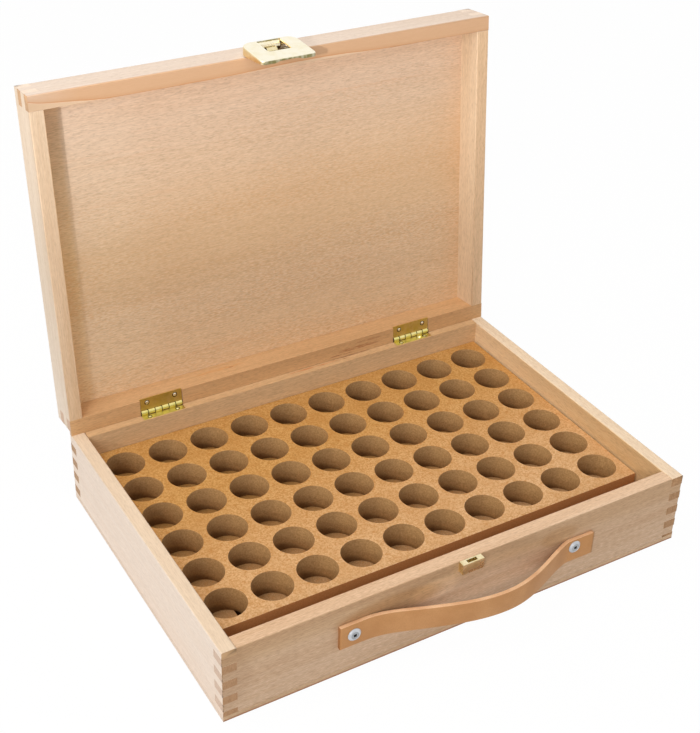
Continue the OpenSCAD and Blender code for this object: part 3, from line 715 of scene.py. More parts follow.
# %% Lid rails
LID_FINGER = LID_H / 4
lid_spans = [(LID_RIM + k * LID_FINGER, LID_RIM + (k + 1) * LID_FINGER) for k in (0, 2)]
rail_outline = jointed(LID_RIM, LID_TOP, (XL + SIDE, XL, lid_spans), (XR - SIDE, XR, lid_spans))
board("lid_front_board", "lid", "lid_front_rail", rail_outline, "Y", LID_YF, FRONT, BEECH["lid front rail"], [
    (0.8, lambda m, run: run[0] and (near(m.z, LID_RIM) or near(m.z, LID_TOP)) and near(m.y, LID_YF)),
    (0.5, lambda m, run: run[0] and near(m.z, LID_RIM) and near(m.y, LID_YF + FRONT)),
    (1.6, lambda m, run: run[2] and near(abs(m.x), XR) and near(m.y, LID_YF))], OPENED)

for side, x0 in (("left", XL), ("right", XR - SIDE)):
    outline = jointed(LID_RIM, LID_TOP, (LID_YF, LID_YF + FRONT, lid_spans), (LID_YB, LID_YB - LID_REAR, lid_spans))
    board(f"lid_{side}_board", "lid", f"lid_{side}_rail", outline, "X", x0, SIDE, BEECH[f"lid {side} rail"], [
        (0.6, lambda m, run: run[1] and near(m.z, LID_RIM)),
        (0.9, lambda m, run: run[1] and near(m.z, LID_TOP) and near(abs(m.x), XR)),
        (1.6, lambda m, run: run[2] and near(abs(m.x), XR) and near(m.y, LID_YF)),
        (0.9, lambda m, run: run[2] and near(abs(m.x), XR) and near(m.y, LID_YB))], OPENED)

panel_outline = rectangle(XL + SIDE - PANEL_TUCK, LID_YF + FRONT - PANEL_TUCK,
                          XR - SIDE + PANEL_TUCK, LID_YB - LID_REAR + PANEL_TUCK)
board("lid_panel_board", "lid", "lid_panel", panel_outline, "Z", PANEL_LOW, PANEL_T, BEECH["lid panel"], [], OPENED)
print("lid ready")

# %% [markdown]
# ## The drilled plate
# The plate is fibreboard: wood fibres pressed into an even, tan sheet with fine mottling and a few
# dark specks. Its drilled walls are duller and greyer than its sanded face. One recipe makes both and
# chooses between them by the way that the surface looks.

# %% Fibreboard finish
DUSK_HIGH, DUSK_TILT = 5.0, 4.5      # where a hole's wall turns dark: above the floor, and higher on the left by this


def fibreboard(name, *tones):
    """tones are the two tones of the sanded face and the two tones of a drilled wall."""
    face, mottle, wall, dark = (tone(*t) for t in tones)
    stuff = Finish(name, Roughness=0.75, Specular_IOR_Level=0.25)
    spot, facing = stuff.place(), stuff.facing()
    x, y, z = stuff.parts(spot)
    up, leftward = stuff.part(facing, "Z"), stuff.part(facing, "X")
    fluff = stuff.noise(spot, 760.0, detail=5.0, rough=0.7)
    broad = stuff.noise(spot, 42.0, detail=4.0, rough=0.6)
    clots = stuff.noise(spot, 330.0, detail=3.0, rough=0.6)
    top = stuff.mix(fluff.ramp(0.38, 0.62), face, mottle)
    top = stuff.mix(broad.ramp(0.38, 0.66, 0.0, 0.4), top, mottle)
    # loose fibres of the pressed wood, short and lying every way
    hairs = stuff.noise(spot, 210.0, detail=2.0, rough=0.5, bend=3.0)
    top = stuff.coats(top, (clots.ramp(0.55, 0.72) * 0.5, 196, 130, 62),
                      (abs(hairs - 0.5).ramp(0.0, 0.012, 0.5, 0.0), 244, 206, 156))
    # specks, dark and pale: a few cells out of a hundred have one
    cells = {"Vector": spot, "Scale": 210.0}
    centre = stuff.node("ShaderNodeTexVoronoi", {"feature": "F1"}, cells, out="Distance")
    pick = stuff.node("ShaderNodeTexVoronoi", {"feature": "F1"}, cells, out="Color")
    pick = stuff.node("ShaderNodeSeparateColor", None, {"Color": pick}, out="Red")
    top = stuff.coats(top, (centre.ramp(0.04, 0.14, 1.0, 0.0) * (pick > 0.965) * 0.8, 120, 74, 36),
                      (centre.ramp(0.06, 0.16, 1.0, 0.0) * (pick < 0.03) * 0.4, 248, 216, 160))
    # the sanded face is yellower toward the back, where the lid throws its own colour on it
    top = stuff.graded(top, y - x * 0.12,
                       [(-75, (0.93, 0.96, 1.04)), (-20, (0.87, 0.85, 0.8)), (50, (0.78, 0.72, 0.5))])
    # in a drilled hole the light falls off toward the floor, sooner on the left than on the right
    side = stuff.mix(fluff.ramp(0.3, 0.7), wall, dark)
    above_dusk = z - (plate_low[2] + DUSK_HIGH) * MM - leftward * (DUSK_TILT * MM)
    side = stuff.mix(above_dusk.ramp(-2.2 * MM, 2.6 * MM, 0.62, 0.0), side, scaled(dark, 0.3, 0.26, 0.2))
    # painted light: the walls that face left, on a hole's right side, are paler where the lamps reach them
    side = stuff.mix(leftward.ramp(-0.2, -0.9), side, stuff.tinted(side, (1.2, 1.2, 1.16)))
    colour = stuff.mix(up.ramp(0.3, 0.8), side, top)
    # the plate's front end, out of the light behind the front wall, is sawn and darker
    sawn = (y < (plate_low[1] + 0.6) * MM) * up.ramp(0.3, 0.8, 1.0, 0.0)
    colour = stuff.mix(sawn, colour, stuff.mix(fluff.ramp(0.3, 0.7), tone(196, 136, 84), tone(180, 120, 70)))
    return stuff.feed(Base_Color=colour, Normal=stuff.bump(fluff, 0.0001, 0.4))


PLATE = fibreboard("fibreboard plate", (232, 186, 134), (202, 148, 88), (184, 146, 99), (155, 118, 76))
FLOOR_BOARD = fibreboard("fibreboard floor", (190, 146, 98), (172, 128, 82), (140, 106, 72), (120, 88, 56))
print("fibreboard ready")

# %% [markdown]
# Sixty round holes would each need a cut if the plate were a solid. A flat curve with sixty circles
# inside its outline is easier: Blender fills it, thickens it and gives every rim a tiny rounded edge.

# %% Plate with its holes
HOLE_R, HOLE_STEPS = 14.05, 72
PITCH_X, PITCH_Y = 33.33, 33.0
COLS, ROWS = 10, 6
HOLES_LEFT, PLATE_EDGE = 0.3, 0.25
FIRST_X = (plate_low[0] + plate_high[0]) / 2 - HOLES_LEFT - (COLS - 1) * PITCH_X / 2
FIRST_Y = (plate_low[1] + plate_high[1]) / 2 - (ROWS - 1) * PITCH_Y / 2


def loop(curve, points):
    spline = curve.splines.new("POLY")
    spline.points.add(len(points) - 1)
    for point, (x, y) in zip(spline.points, points):
        point.co = (x * MM, y * MM, 0, 1)
    spline.use_cyclic_u = True


def drilled_plate(name, low, high, edge):
    curve = bpy.data.curves.new(name, "CURVE")
    curve.dimensions, curve.fill_mode = "2D", "BOTH"
    loop(curve, rectangle(low[0] + edge, low[1] + edge, high[0] - edge, high[1] - edge))
    for i in range(COLS):
        for j in range(ROWS):
            loop(curve, arc(FIRST_X + i * PITCH_X, FIRST_Y + j * PITCH_Y, HOLE_R + edge,
                            0, 360 - 360 / HOLE_STEPS, HOLE_STEPS - 1))
    curve.extrude = ((high[2] - low[2]) / 2 - edge) * MM
    curve.bevel_depth, curve.bevel_resolution = edge * MM, 1
    holder = into_scene(name, curve)
    bpy.context.view_layer.update()
    graph = bpy.context.evaluated_depsgraph_get()
    data = bpy.data.meshes.new_from_object(holder.evaluated_get(graph))
    bpy.data.objects.remove(holder)
    data.transform(Matrix.Translation((0, 0, (low[2] + high[2]) / 2 * MM)))
    for face in data.polygons:
        face.use_smooth = True
    data.set_sharp_from_angle(angle=math.radians(40))
    return into_scene(name, data)


plate = drilled_plate("drilled_plate", plate_low, plate_high, PLATE_EDGE)
dress(plate, PLATE)
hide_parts("bottle_plate")
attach(plate, "case")
for node in ("plate_board", "front_batten", "rear_batten"):
    dress(node, FLOOR_BOARD)
print("plate has", len(plate.data.polygons), "faces,", COLS * ROWS, "holes")

# %% [markdown]
# ## Brass and steel
# The hinges, the latch and the catch are brass plated steel: a pale gold with a soft shine, a little uneven where it
# was pressed and handled. Faces that look one way take a painted reflection, olive or golden, and the brass under the
# lever and the hinge pins are painted darker, as shade. The handle's washers and screws are bright nickel. The dark of
# a seam is painted shade, a dull finish of its own that reflects nothing.

# %% Metal finishes
def plated(name, bright, dull, rough, tints=()):
    """tints lists (axis, side, colour, how much): a face that looks that way picks up the tint, as a painted
    reflection.
    """
    metal = Finish(name, Metallic=1.0, Roughness=rough)
    spot = metal.place()
    smear = metal.noise(spot, 160.0, detail=3.0, rough=0.6)
    grain = metal.noise(spot, 1800.0, detail=2.0, rough=0.5)
    colour = metal.mix(smear.ramp(0.35, 0.75), tone(*bright), tone(*dull))
    if tints:
        facing = metal.facing("Normal")
        cloud = metal.drawn(spot, (260, 120, 120), detail=2.0, rough=0.5).ramp(0.3, 0.6, 0.6, 1.0)
    for axis, side, tint, amount in tints:
        looks = (metal.part(facing, axis) * side).ramp(0.45, 0.9)
        colour = metal.coats(colour, (looks * cloud * amount, *tint))
    return metal.feed(Base_Color=colour, Roughness=rough + smear * 0.12, Normal=metal.bump(grain, 0.00002, 0.35))


def painted_shade(name, pale, deep):
    """Painted shade for a seam: a dull dark finish where no light is reflected."""
    shade_finish = Finish(name, Roughness=0.85, Specular_IOR_Level=0.1)
    fluff = shade_finish.noise(shade_finish.place(), 900.0, detail=3.0)
    return shade_finish.feed(Base_Color=shade_finish.mix(fluff.ramp(0.3, 0.7), tone(*pale), tone(*deep)))


BRASS = plated("brass plating", (244, 230, 190), (222, 204, 150), 0.22)
PALE_BRASS = plated("pale brass plating", (250, 242, 218), (240, 228, 192), 0.3)
# painted reflection: faces that look up turn golden and faces that look to the front olive
HINGE_BRASS = plated("hinge brass", (240, 230, 180), (206, 190, 118), 0.26,
                     [("Z", 1, (230, 210, 134), 0.9), ("Y", -1, (216, 208, 106), 0.7)])
# painted reflection: the near flange is dark olive and the left flange golden
LEVER_BRASS = plated("lever brass", (250, 243, 222), (244, 234, 204), 0.3,
                     [("Z", -1, (126, 118, 64), 0.95), ("X", -1, (232, 200, 132), 0.8)])
# painted shade: the back plate under the lever is a darker copy of the brass
BACK_PLATE_SHADE = plated("brass under the lever in painted shade", (150, 124, 84), (110, 86, 52), 0.5)
# painted shade: the hinge pins, seen only in the seams, are a dark copy of the brass
PIN_SHADE = plated("pin brass in painted shade", (96, 78, 36), (62, 48, 22), 0.45)
NICKEL = plated("nickel plating", (206, 208, 212), (176, 179, 184), 0.36)
# painted shade: the dark of the hinge seams and of the rings round the nail heads
SEAM_SHADE = painted_shade("painted seam shade", (74, 56, 24), (46, 34, 14))
for node in ("left_hinge_base_leaf", "right_hinge_base_leaf", "left_hinge_lid_leaf", "right_hinge_lid_leaf"):
    ease(node, HINGE_BRASS, 0.22)
ease("latch_back_plate", BACK_PLATE_SHADE, 0.2)
ease("catch_bracket", BRASS, 0.2)
for finish, nodes in ((PIN_SHADE, ("left_hinge_pin", "right_hinge_pin")),
                      (BRASS, ("latch_nails", "catch_nails", "latch_spring")), (NICKEL, ("handle_washers",))):
    for node in nodes:
        dress(node, finish)
print("metal ready")

# %% [markdown]
# A handle screw is turned by a square key. Seen from a metre away its head is a dull grey disc with a dark square in
# the middle, so the finish darkens a square round the axis of each screw, painted shade for the key's socket, and a
# thin ring where the head ends, painted shade at the head's edge.

# %% Screw heads
KEY_HALF, HEAD_RING = 1.0, 2.3
washers_low, washers_high = corner_box("handle_washers")
WASHER_R = (washers_high[2] - washers_low[2]) / 2
SCREW_XS = (washers_low[0] + WASHER_R, washers_high[0] - WASHER_R)
SCREW_Z = (washers_low[2] + washers_high[2]) / 2
heads = Finish("screw heads", Roughness=0.42)
x, _, z = heads.parts(heads.place())
aside, upright = abs(x - SCREW_XS[0] * MM).least(abs(x - SCREW_XS[1] * MM)), z - SCREW_Z * MM
in_key = aside.most(abs(upright)).fall(KEY_HALF, KEY_HALF + 0.4)
ring = abs(aside * aside + upright * upright - (HEAD_RING * MM) ** 2).ramp(0.0, 0.0000012, 0.5, 0.0)
heads.feed(Base_Color=heads.mix(in_key.most(ring), tone(176, 178, 180), tone(52, 52, 54)), Metallic=1 - in_key * 0.9)
dress("handle_screws", heads)
print("screws at", [round(x, 1) for x in SCREW_XS], round(SCREW_Z, 1))

# %% [markdown]
# ### Nail heads
# The hinges' nails are small and slightly domed, and each sits in a countersunk hole a little wider than its head, so
# it shows as a bright dot in a dark ring; the ring is a flat collar in painted shade, the shade of the countersink. The
# domes stay lower than the gap between lid and base. A nail head is round, so it is turned: a profile is carried round
# an axis, as a lathe would do.

# %% Turned nail heads
RIGHT, DOWN, UP = (1, 0, 0), (0, 0, -1), (0, 0, 1)


def turned(mesh, profile, where, out, dark_from=math.inf, steps=28):
    """Turns (radius, height) pairs round the direction out, at where, all in millimetres.
    From the radius dark_from on, faces get the second finish."""
    base = Matrix.Translation(Vector(where) * MM) @ Vector(out).to_track_quat("Z", "Y").to_matrix().to_4x4()
    rings = []
    for radius, height in profile:
        spots = arc(0, 0, radius, 0, 360 - 360 / steps, steps - 1) if radius else [(0, 0)]
        rings.append([mesh.verts.new(base @ Vector((x * MM, y * MM, height * MM))) for x, y in spots])
    for inner, outer, (radius, _) in zip(rings, rings[1:], profile):
        for k in range(steps):
            j = (k + 1) % steps
            corners = [inner[k % len(inner)], outer[k % len(outer)], outer[j % len(outer)], inner[j % len(inner)]]
            face = mesh.faces.new(list(dict.fromkeys(corners)))          # on the axis two corners are one
            face.smooth = True
            face.material_index = 1 if radius >= dark_from else 0


def nail_heads(name, body, places, out, profile, dark_from, matrix, replaced):
    mesh = bmesh.new()
    for place in places:
        turned(mesh, profile, place, out, dark_from)
    ob = piece(mesh, name, PALE_BRASS, SEAM_SHADE, matrix=matrix)
    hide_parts(replaced)
    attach(ob, body)


HINGE_X = [corner_box(n)[0][0] for n in ("left_hinge_base_leaf", "right_hinge_base_leaf")]
HINGE_L = corner_box("left_hinge_base_leaf")[1][0] - HINGE_X[0]
NAIL_IN = 5.4                # from a leaf's end to its nail
LID_NAIL_Y, BASE_NAIL_Y = YB - 9.9, YB - 6.6
NAIL_XS = [x + d for x in HINGE_X for d in (NAIL_IN, HINGE_L - NAIL_IN)]
nail_heads("domed_lid_nails", "lid", [(x, LID_NAIL_Y, LID_RIM) for x in NAIL_XS], DOWN,
           [(0, 0.28), (0.5, 0.26), (0.95, 0.18), (1.2, 0.08), (1.28, 0.02), (1.3, 0.02), (1.95, 0.02), (2.0, -0.2)],
           1.28, OPENED, "hinge_lid_nails")
nail_heads("sunk_base_nails", "case", [(x, BASE_NAIL_Y, RIM) for x in NAIL_XS], UP,
           [(0, 0.26), (0.5, 0.23), (0.95, 0.13), (1.15, 0.02), (1.2, 0.02), (1.75, 0.02), (1.8, -0.2)],
           1.15, None, "hinge_base_nails")
print("nail heads at", [round(x, 1) for x in NAIL_XS])

# %% [markdown]
# A hinge's knuckles meet in seams, and shadow gathers there, so each seam shows as a dark line round the barrel. A thin
# collar, a hair wider than the barrel, draws that line in painted shade. The collars at the two ends of a barrel are
# thinner and stay inside its length.

# %% Seams between the knuckles
KNUCKLES, COLLAR_R, BORE_R, SEAM_W, END_W = 6, 2.35, 1.3, 0.62, 0.3
collars = bmesh.new()
for start in HINGE_X:
    for k in range(KNUCKLES + 1):
        inward = {0: END_W / 2, KNUCKLES: -END_W / 2}.get(k, 0)
        half = END_W / 2 if inward else SEAM_W / 2
        turned(collars, [(BORE_R, -half), (COLLAR_R, -half), (COLLAR_R, half), (BORE_R, half)],
               (start + HINGE_L * k / KNUCKLES + inward, HINGE[1], HINGE[2]), RIGHT)
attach(piece(collars, "knuckle_seams", SEAM_SHADE), "case")
print("seams between", KNUCKLES, "knuckles on each hinge")

# %% [markdown]
# ### The latch lever
# The lever is pressed from one sheet: a flat face with a window, rolled over at its outer edges into
# flanges that keep fingers off the raw edge. The shape is drawn as an outline shaped like a U and
# then built as rings: each ring is the outline moved in a little and down a little, which gives the
# rolled edge, then the flange, then the inside of the flange. A bar beside the pin closes the U.

# %% Latch lever
LEVER_X, LEVER_W, LEVER_FAR, LEVER_NEAR = -1.0, 43.0, 0.9, -33.4
WINDOW_W, WINDOW_END, WINDOW_R = 18.0, -19.4, 1.2
LEVER_OUT, LIFT = 2.15, 2.4          # the sheet stands this far out from the pin, and more at its far end
SHEET, EDGE_ROLL, FAR_R, NEAR_R = 1.0, 1.1, 8.0, 3.6
LEVER_LEAN = 4.4                     # degrees, at rest


def lift(z):
    """How much further out the sheet stands at z: nothing at its near end, most at the pin."""
    return LIFT * min(1.0, max(0.0, (z - LEVER_NEAR) / (LEVER_FAR - LEVER_NEAR)))


def prism(mesh, x0, x1, outline):
    """Pushes an outline of (y, z) points from x0 to x1."""
    ends = [[mesh.verts.new((x, y, z)) for y, z in outline] for x in (x0, x1)]
    for k in range(len(outline)):
        j = (k + 1) % len(outline)
        mesh.faces.new((ends[0][k], ends[0][j], ends[1][j], ends[1][k])).smooth = True
    mesh.faces.new(ends[0])
    mesh.faces.new(ends[1][::-1])


def lever_outline():
    """Right half from the window's far corner round to the middle of the near edge, as (x, z, flange depth)."""
    w = LEVER_W / 2
    points = [(x, LEVER_FAR, 4.8) for x in (WINDOW_W / 2, w - FAR_R - 2)]
    points += [(x, z, 5.9) for x, z in arc(w - FAR_R, LEVER_FAR - FAR_R, FAR_R, 90, 0, 10)]
    points += [(w, z, depth) for z, depth in ((-9.5, 5.8), (-14.0, 5.1), (-20.0, 4.3), (-28.0, 3.2))]
    points += [(x, z, 2.6) for x, z in arc(w - NEAR_R, LEVER_NEAR + NEAR_R, NEAR_R, 0, -90, 8)]
    near_edge = ((11.0, 2.6), (9.5, 2.3), (8.0, 1.7), (6.0, 1.4), (0.0, 1.25))
    return points + [(x, LEVER_NEAR, depth) for x, depth in near_edge]


def lever_mesh():
    half = lever_outline()
    path = half + [(-x, z, d) for x, z, d in half[:-1][::-1]]
    count = len(path)
    inward = []                      # to the right of the path, because it runs clockwise
    for i in range(count):
        (ax, az, _), (bx, bz, _) = path[max(i - 1, 0)], path[min(i + 1, count - 1)]
        run = Vector((bx - ax, bz - az)).normalized()
        inward.append(Vector((run.y, -run.x)))
    inward[0] = inward[-1] = Vector((0, -1))
    mesh = bmesh.new()

    def ring(inset, depth=None):
        return [mesh.verts.new((LEVER_X + x + n.x * inset, -LEVER_OUT - lift(z) + (flange if depth is None else depth),
                                z + n.y * inset)) for (x, z, flange), n in zip(path, inward)]

    rolled = [math.radians(a) for a in (0, 22.5, 45, 67.5, 90)]
    rings = [ring(EDGE_ROLL * (1 - math.sin(a)), EDGE_ROLL * (1 - math.cos(a))) for a in rolled]
    rings += [ring(0), ring(SHEET * 0.8), ring(SHEET * 1.2, SHEET)]
    for a, b in zip(rings, rings[1:]):
        for i in range(count - 1):
            mesh.faces.new((a[i], a[i + 1], b[i + 1], b[i]))
    # the window's edge, from the path's end back to its start
    w, sill_z = WINDOW_W / 2, WINDOW_END + WINDOW_R
    sill = [(-w, sill_z)] + arc(-w + WINDOW_R, sill_z, WINDOW_R, 180, 270, 4)[1:]
    sill += arc(w - WINDOW_R, sill_z, WINDOW_R, 270, 360, 4)
    upper, lower = ([mesh.verts.new((LEVER_X + x, -LEVER_OUT - lift(z) + depth, z)) for x, z in sill]
                    for depth in (0, SHEET))
    mesh.faces.new(rings[0] + upper)
    mesh.faces.new(rings[-1] + lower)
    top_loop, low_loop = [rings[0][-1]] + upper + [rings[0][0]], [rings[-1][-1]] + lower + [rings[-1][0]]
    for i in range(len(top_loop) - 1):
        mesh.faces.new((top_loop[i], top_loop[i + 1], low_loop[i + 1], low_loop[i]))
    for end in (0, -1):
        mesh.faces.new([r[end] for r in rings])
    # the bar that closes the window beside the pin, with the same rolled edge
    prism(mesh, LEVER_X - w, LEVER_X + w, [(y - LEVER_OUT - LIFT, LEVER_FAR + z) for y, z in
                                           ((0, -2.0), (0, -1.1), (0.32, -0.34), (1.1, 0), (1.1, -0.7), (0.7, -2.0))])
    bmesh.ops.remove_doubles(mesh, verts=mesh.verts, dist=1e-5)
    bmesh.ops.recalc_face_normals(mesh, faces=mesh.faces)
    for face in mesh.faces:
        face.smooth = True
    return mesh


TO_METRES = Matrix.Scale(MM, 4)
pin = [c / MM for c in JOINTS["latch_pivot"]["pos_m"]]
lever_place = Matrix.Translation(Vector(pin) * MM) @ Matrix.Rotation(math.radians(LEVER_LEAN) - OPEN_ANGLE, 4, "X")
lever = piece(lever_mesh(), "latch_lever_sheet", LEVER_BRASS, matrix=TO_METRES, sharp_above=50)
lever.matrix_world = lever_place
flat_faces(lever)
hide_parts("latch_lever")
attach(lever, "latch")
print("lever has", len(lever.data.polygons), "faces")

# %% [markdown]
# The pin goes through both flanges of the lever and through the roll. On the real latch it ends inside the
# lever's rounded corners. So it is turned here a little shorter than its bore, with broken edges.

# %% Pin of the lever
PIN_HALF, PIN_R, PIN_EDGE = 14.0, 1.0, 0.3
half_profile = [(0, PIN_HALF), (PIN_R - PIN_EDGE, PIN_HALF), (PIN_R, PIN_HALF - PIN_EDGE)]
rod = bmesh.new()
turned(rod, [(r, -h) for r, h in half_profile] + half_profile[::-1], pin, RIGHT)
latch_pin = piece(rod, "latch_pin_rod", BRASS, sharp_above=50)
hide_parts("latch_pin")
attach(latch_pin, "lid")
print("pin is", 2 * PIN_HALF, "mm long")

# %% [markdown]
# Between the lever's two arms the back plate is rolled round the pin. The roll stands as high as the
# lever, and its round top catches the bright ground behind the case.

# %% Roll of the back plate
ROLL_Y, ROLL_Z, ROLL_R, ROLL_PLAY = -1.1, 0.2, 2.8, 0.25
roll = [(ROLL_R, 3.0), (ROLL_Y, 3.0)] + arc(ROLL_Y, ROLL_Z, ROLL_R, 90, 270, 14)[1:] + [(0.4, ROLL_Z - ROLL_R)]
roll_mesh = bmesh.new()
prism(roll_mesh, LEVER_X - WINDOW_W / 2 + ROLL_PLAY, LEVER_X + WINDOW_W / 2 - ROLL_PLAY, roll)
bmesh.ops.recalc_face_normals(roll_mesh, faces=roll_mesh.faces)
back_roll = piece(roll_mesh, "back_plate_roll", PALE_BRASS, matrix=TO_METRES, sharp_above=50)
back_roll.matrix_world = lever_place
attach(back_roll, "lid")
print("back plate roll ready")

# %% [markdown]
# ## The leather strap
# A plain strap of tanned leather bows out from the wall between its two screws. Its face is smooth with a faint pebble
# and its cut edges are paler and rough; a painted sheen makes the middle of its face paler and cooler than its two
# ends.

# %% Leather finish
EVEN = ((-100, (1.0, 1.0, 1.0)), (100, (1.0, 1.0, 1.0)))
# painted sheen: the middle of the strap's face is paler and cooler than its two ends
SHEEN_ALONG_STRAP = ((-95, (0.94, 0.92, 0.9)), (-40, (0.99, 1.01, 1.08)), (10, (0.96, 0.98, 1.04)), (62, (0.98, 0.97, 0.96)),
           (95, (0.95, 0.93, 0.9)))


def leather(name, face, shade, rough, pebble, tints=EVEN):
    face, shade = tone(*face), tone(*shade)
    hide = Finish(name, Roughness=rough, Specular_IOR_Level=0.3)
    spot = hide.place()
    blotch = hide.noise(spot, 60.0, detail=3.0, rough=0.55)
    cells = hide.node("ShaderNodeTexVoronoi", {"feature": "F1"}, {"Vector": spot, "Scale": pebble}, out="Distance")
    fuzz = hide.noise(spot, 1400.0, detail=3.0, rough=0.65)
    colour = hide.graded(hide.mix(blotch.ramp(0.2, 0.8), face, shade), hide.part(spot, "X"), tints)
    colour = hide.mix(fuzz.ramp(0.3, 0.75, 0.0, 0.35), colour, scaled(shade, 0.72))
    return hide.feed(Base_Color=colour, Normal=hide.bump(cells * 0.5 + fuzz * 0.5, 0.0001, 0.4))


LEATHER = leather("leather face", (200, 147, 94), (186, 132, 79), 0.6, 900.0, SHEEN_ALONG_STRAP)
LEATHER_EDGE = leather("leather cut edge", (240, 196, 154), (216, 164, 120), 0.85, 1500.0)
LEATHER_END = leather("leather end", (176, 124, 78), (158, 106, 62), 0.85, 1500.0)
print("leather ready")

# %% [markdown]
# The strap is a rounded rectangle carried along a curve. Its lower edge bows out a little less than
# its upper edge and further to the right, and it hangs slightly askew on its screws, as the real one
# does. Places along the strap are counted from the case's left side.

# %% Strap
STRAP_X0, STRAP_X1, STRAP_STEPS = 79.5, 281.0, 110
STRAP_Z, STRAP_H, STRAP_T, STRAP_R = 22.0, 18.0, 2.7, 0.35
OFF_WALL = 0.05
BOW_START, BOW_END, BOW_RISE = 99.0, 259.3, 1.8


def bow(x, peak, depth, fall):
    """How far the strap stands off the wall at x."""
    if not BOW_START < x < BOW_END:
        return 0.0
    if x < peak:
        return depth * math.sin(math.pi / 2 * (x - BOW_START) / (peak - BOW_START)) ** BOW_RISE
    return depth * math.sin(math.pi / 2 * (BOW_END - x) / (BOW_END - peak)) ** fall


def strap_line(x, high):
    """The bow at x; high is 0 at the strap's lower edge and 1 at its upper edge."""
    top, low = bow(x, 193.0, 21.5, 1.25), bow(x, 195.0, 20.2, 1.4)
    return low + (top - low) * high


def settle(x, start, end):
    """0 at start and 1 at end, changing smoothly between them."""
    share = min(1.0, max(0.0, (x - start) / (end - start)))
    return share * share * (3 - 2 * share)


def askew(x):
    """How much higher the strap hangs at x: its left end has crept up and its right end down."""
    return 0.2 + 1.7 * settle(x, 140.0, 100.0) - 1.3 * settle(x, 195.0, 275.0)


def strap_mesh():
    mesh = bmesh.new()
    section = []                      # (across the thickness, up the height)
    for cy, cz, start in ((STRAP_T - STRAP_R, STRAP_H - STRAP_R, 0), (STRAP_R, STRAP_H - STRAP_R, 90),
                          (STRAP_R, STRAP_R, 180), (STRAP_T - STRAP_R, STRAP_R, 270)):
        section += arc(cy, cz, STRAP_R, start, start + 90, 3)
    stations = [STRAP_X0 + 0.4, *(STRAP_X0 + (STRAP_X1 - STRAP_X0) * k / STRAP_STEPS for k in range(1, STRAP_STEPS)),
                STRAP_X1 - 0.4]
    rings = []
    for x in stations:
        ring = []
        for across, up in section:
            h = up / STRAP_H
            slope = strap_line(x + 0.5, h) - strap_line(x - 0.5, h)
            n = math.hypot(1, slope)
            out = strap_line(x, h) + across / n + OFF_WALL
            ring.append(mesh.verts.new(Vector((XL + x - across * slope / n, YF - out, STRAP_Z + askew(x) + up)) * MM))
        rings.append(ring)
    count = len(section)
    for a, b in zip(rings, rings[1:]):
        for k in range(count):
            j = (k + 1) % count
            face = mesh.faces.new((a[k], a[j], b[j], b[k]))
            face.smooth = True
            face.material_index = 1 if 1 <= k <= 6 or 8 <= k <= 13 else 0          # 1: the cut edges
    mesh.faces.new(rings[0][::-1]).material_index = 2
    mesh.faces.new(rings[-1]).material_index = 1
    bmesh.ops.recalc_face_normals(mesh, faces=mesh.faces)
    return mesh


strap = piece(strap_mesh(), "leather_strap", LEATHER, LEATHER_EDGE, LEATHER_END)
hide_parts("handle_strap")
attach(strap, "case")
print("strap has", len(strap.data.polygons), "faces")

# %% [markdown]
# ## Floor, background and light
# The photograph has a pure white ground. A white floor under soft light would be grey in places, so
# the camera sees the floor's colour mostly as plain white, and the object's shadow stays faintly on
# it. The world does the same for the camera and for reflections, and lights the object more gently.

# %% Floor and world
FLOOR_SIZE, FLOOR_Z, PLAIN_WHITE = 6.0, -0.0002, 0.97


def seen(graph):
    """1 for what the camera sees, straight or in a reflection."""
    camera_ray, glossy_ray = (graph.node("ShaderNodeLightPath", out=o) for o in ("Is Camera Ray", "Is Glossy Ray"))
    return camera_ray.most(glossy_ray)


def either(graph, amount, first, second, output):
    """Mixes two shaders and sends the result to the graph's output."""
    blend = graph.node("ShaderNodeMixShader", None, {0: amount, 1: first, 2: second})
    graph.tree.links.new(blend.socket, output.inputs["Surface"])


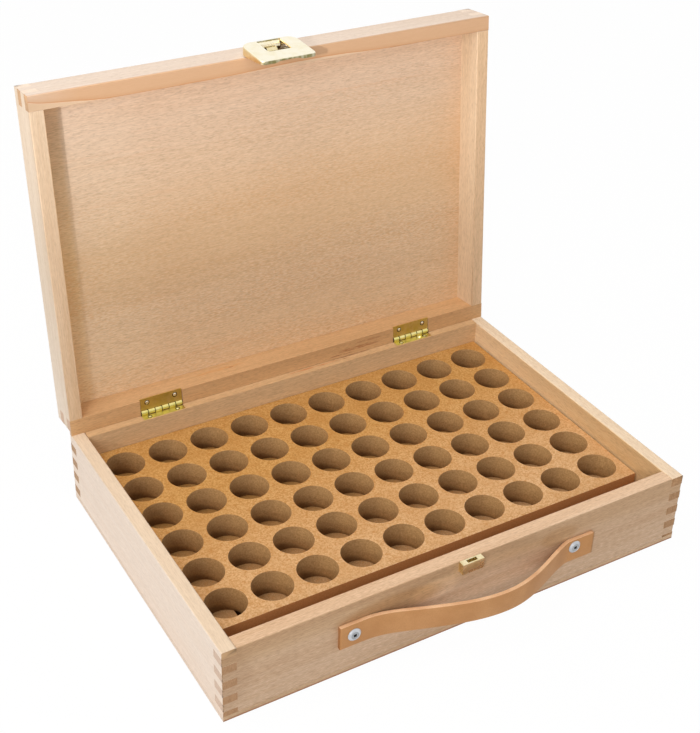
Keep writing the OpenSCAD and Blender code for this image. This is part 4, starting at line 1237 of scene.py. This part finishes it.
ground = Finish("white floor", Roughness=0.9, Base_Color=(0.93, 0.93, 0.93, 1))
glow = ground.node("ShaderNodeEmission", None, {"Strength": 1.0})
either(ground, seen(ground) * PLAIN_WHITE, Wire(ground, ground.surface.outputs[0]), glow, ground.output)
floor_mesh = bmesh.new()
bmesh.ops.create_grid(floor_mesh, x_segments=1, y_segments=1, size=FLOOR_SIZE)
floor = piece(floor_mesh, "floor", ground)
floor.location.z = FLOOR_Z

world = bpy.data.worlds.new("studio")
bpy.context.scene.world = world
world.use_nodes = True
studio = Graph(world.node_tree)
sky = studio.node("ShaderNodeBackground", None, {"Color": (1.0, 0.985, 0.96, 1), "Strength": 0.45})
white = studio.node("ShaderNodeBackground", None, {"Color": (1, 1, 1, 1), "Strength": 1.0})
either(studio, seen(studio), sky, white, studio.tree.nodes.new("ShaderNodeOutputWorld"))
print("floor and world ready")

# %% [markdown]
# One hard, narrow light from the left of the front throws the short shadows of the lid's left rail and
# of the latch. It is split in two, because the lid gets more of it than the base. A near window softens
# it, and a large light overhead fills the holes.

# %% Lamps
def lamp(name, kind, place, target, power, colour, **settings):
    data = bpy.data.lights.new(name, kind)
    data.energy, data.color = power, colour
    for key, value in settings.items():
        setattr(data, key, value)
    ob = into_scene(name, data)
    ob.location = place
    ob.rotation_mode = "QUATERNION"
    ob.rotation_quaternion = (Vector(place) - Vector(target)).to_track_quat("Z", "Y")


SIDE_LAMP, PLATE_MIDDLE, LID_MIDDLE = (-1.83, -1.72, 1.02), (0, 0, 0.1), (-0.06, 0.13, 0.56)
HARD = {"shadow_soft_size": 0.045, "spot_blend": 0.5}
lamp("low lamp", "SPOT", SIDE_LAMP, PLATE_MIDDLE, 31, (1, 0.97, 0.93), spot_size=math.radians(50), **HARD)
lamp("lid lamp", "SPOT", SIDE_LAMP, LID_MIDDLE, 102, (1, 0.97, 0.95), spot_size=math.radians(18), **HARD)
lamp("window", "AREA", (-1.5, -1.5, 1.5), PLATE_MIDDLE, 13, (1, 0.98, 0.96), shape="SQUARE", size=0.5)
lamp("overhead", "AREA", (-0.7, 0.0, 2.3), PLATE_MIDDLE, 29, (1, 0.98, 0.95), shape="SQUARE", size=1.5)
print("lamps ready")

# %% [markdown]
# ## Colour management
# The picture is shown as it is, with no film look, so a colour renders about as it is written.

# %% Finish
bpy.context.scene.view_settings.view_transform = "Standard"
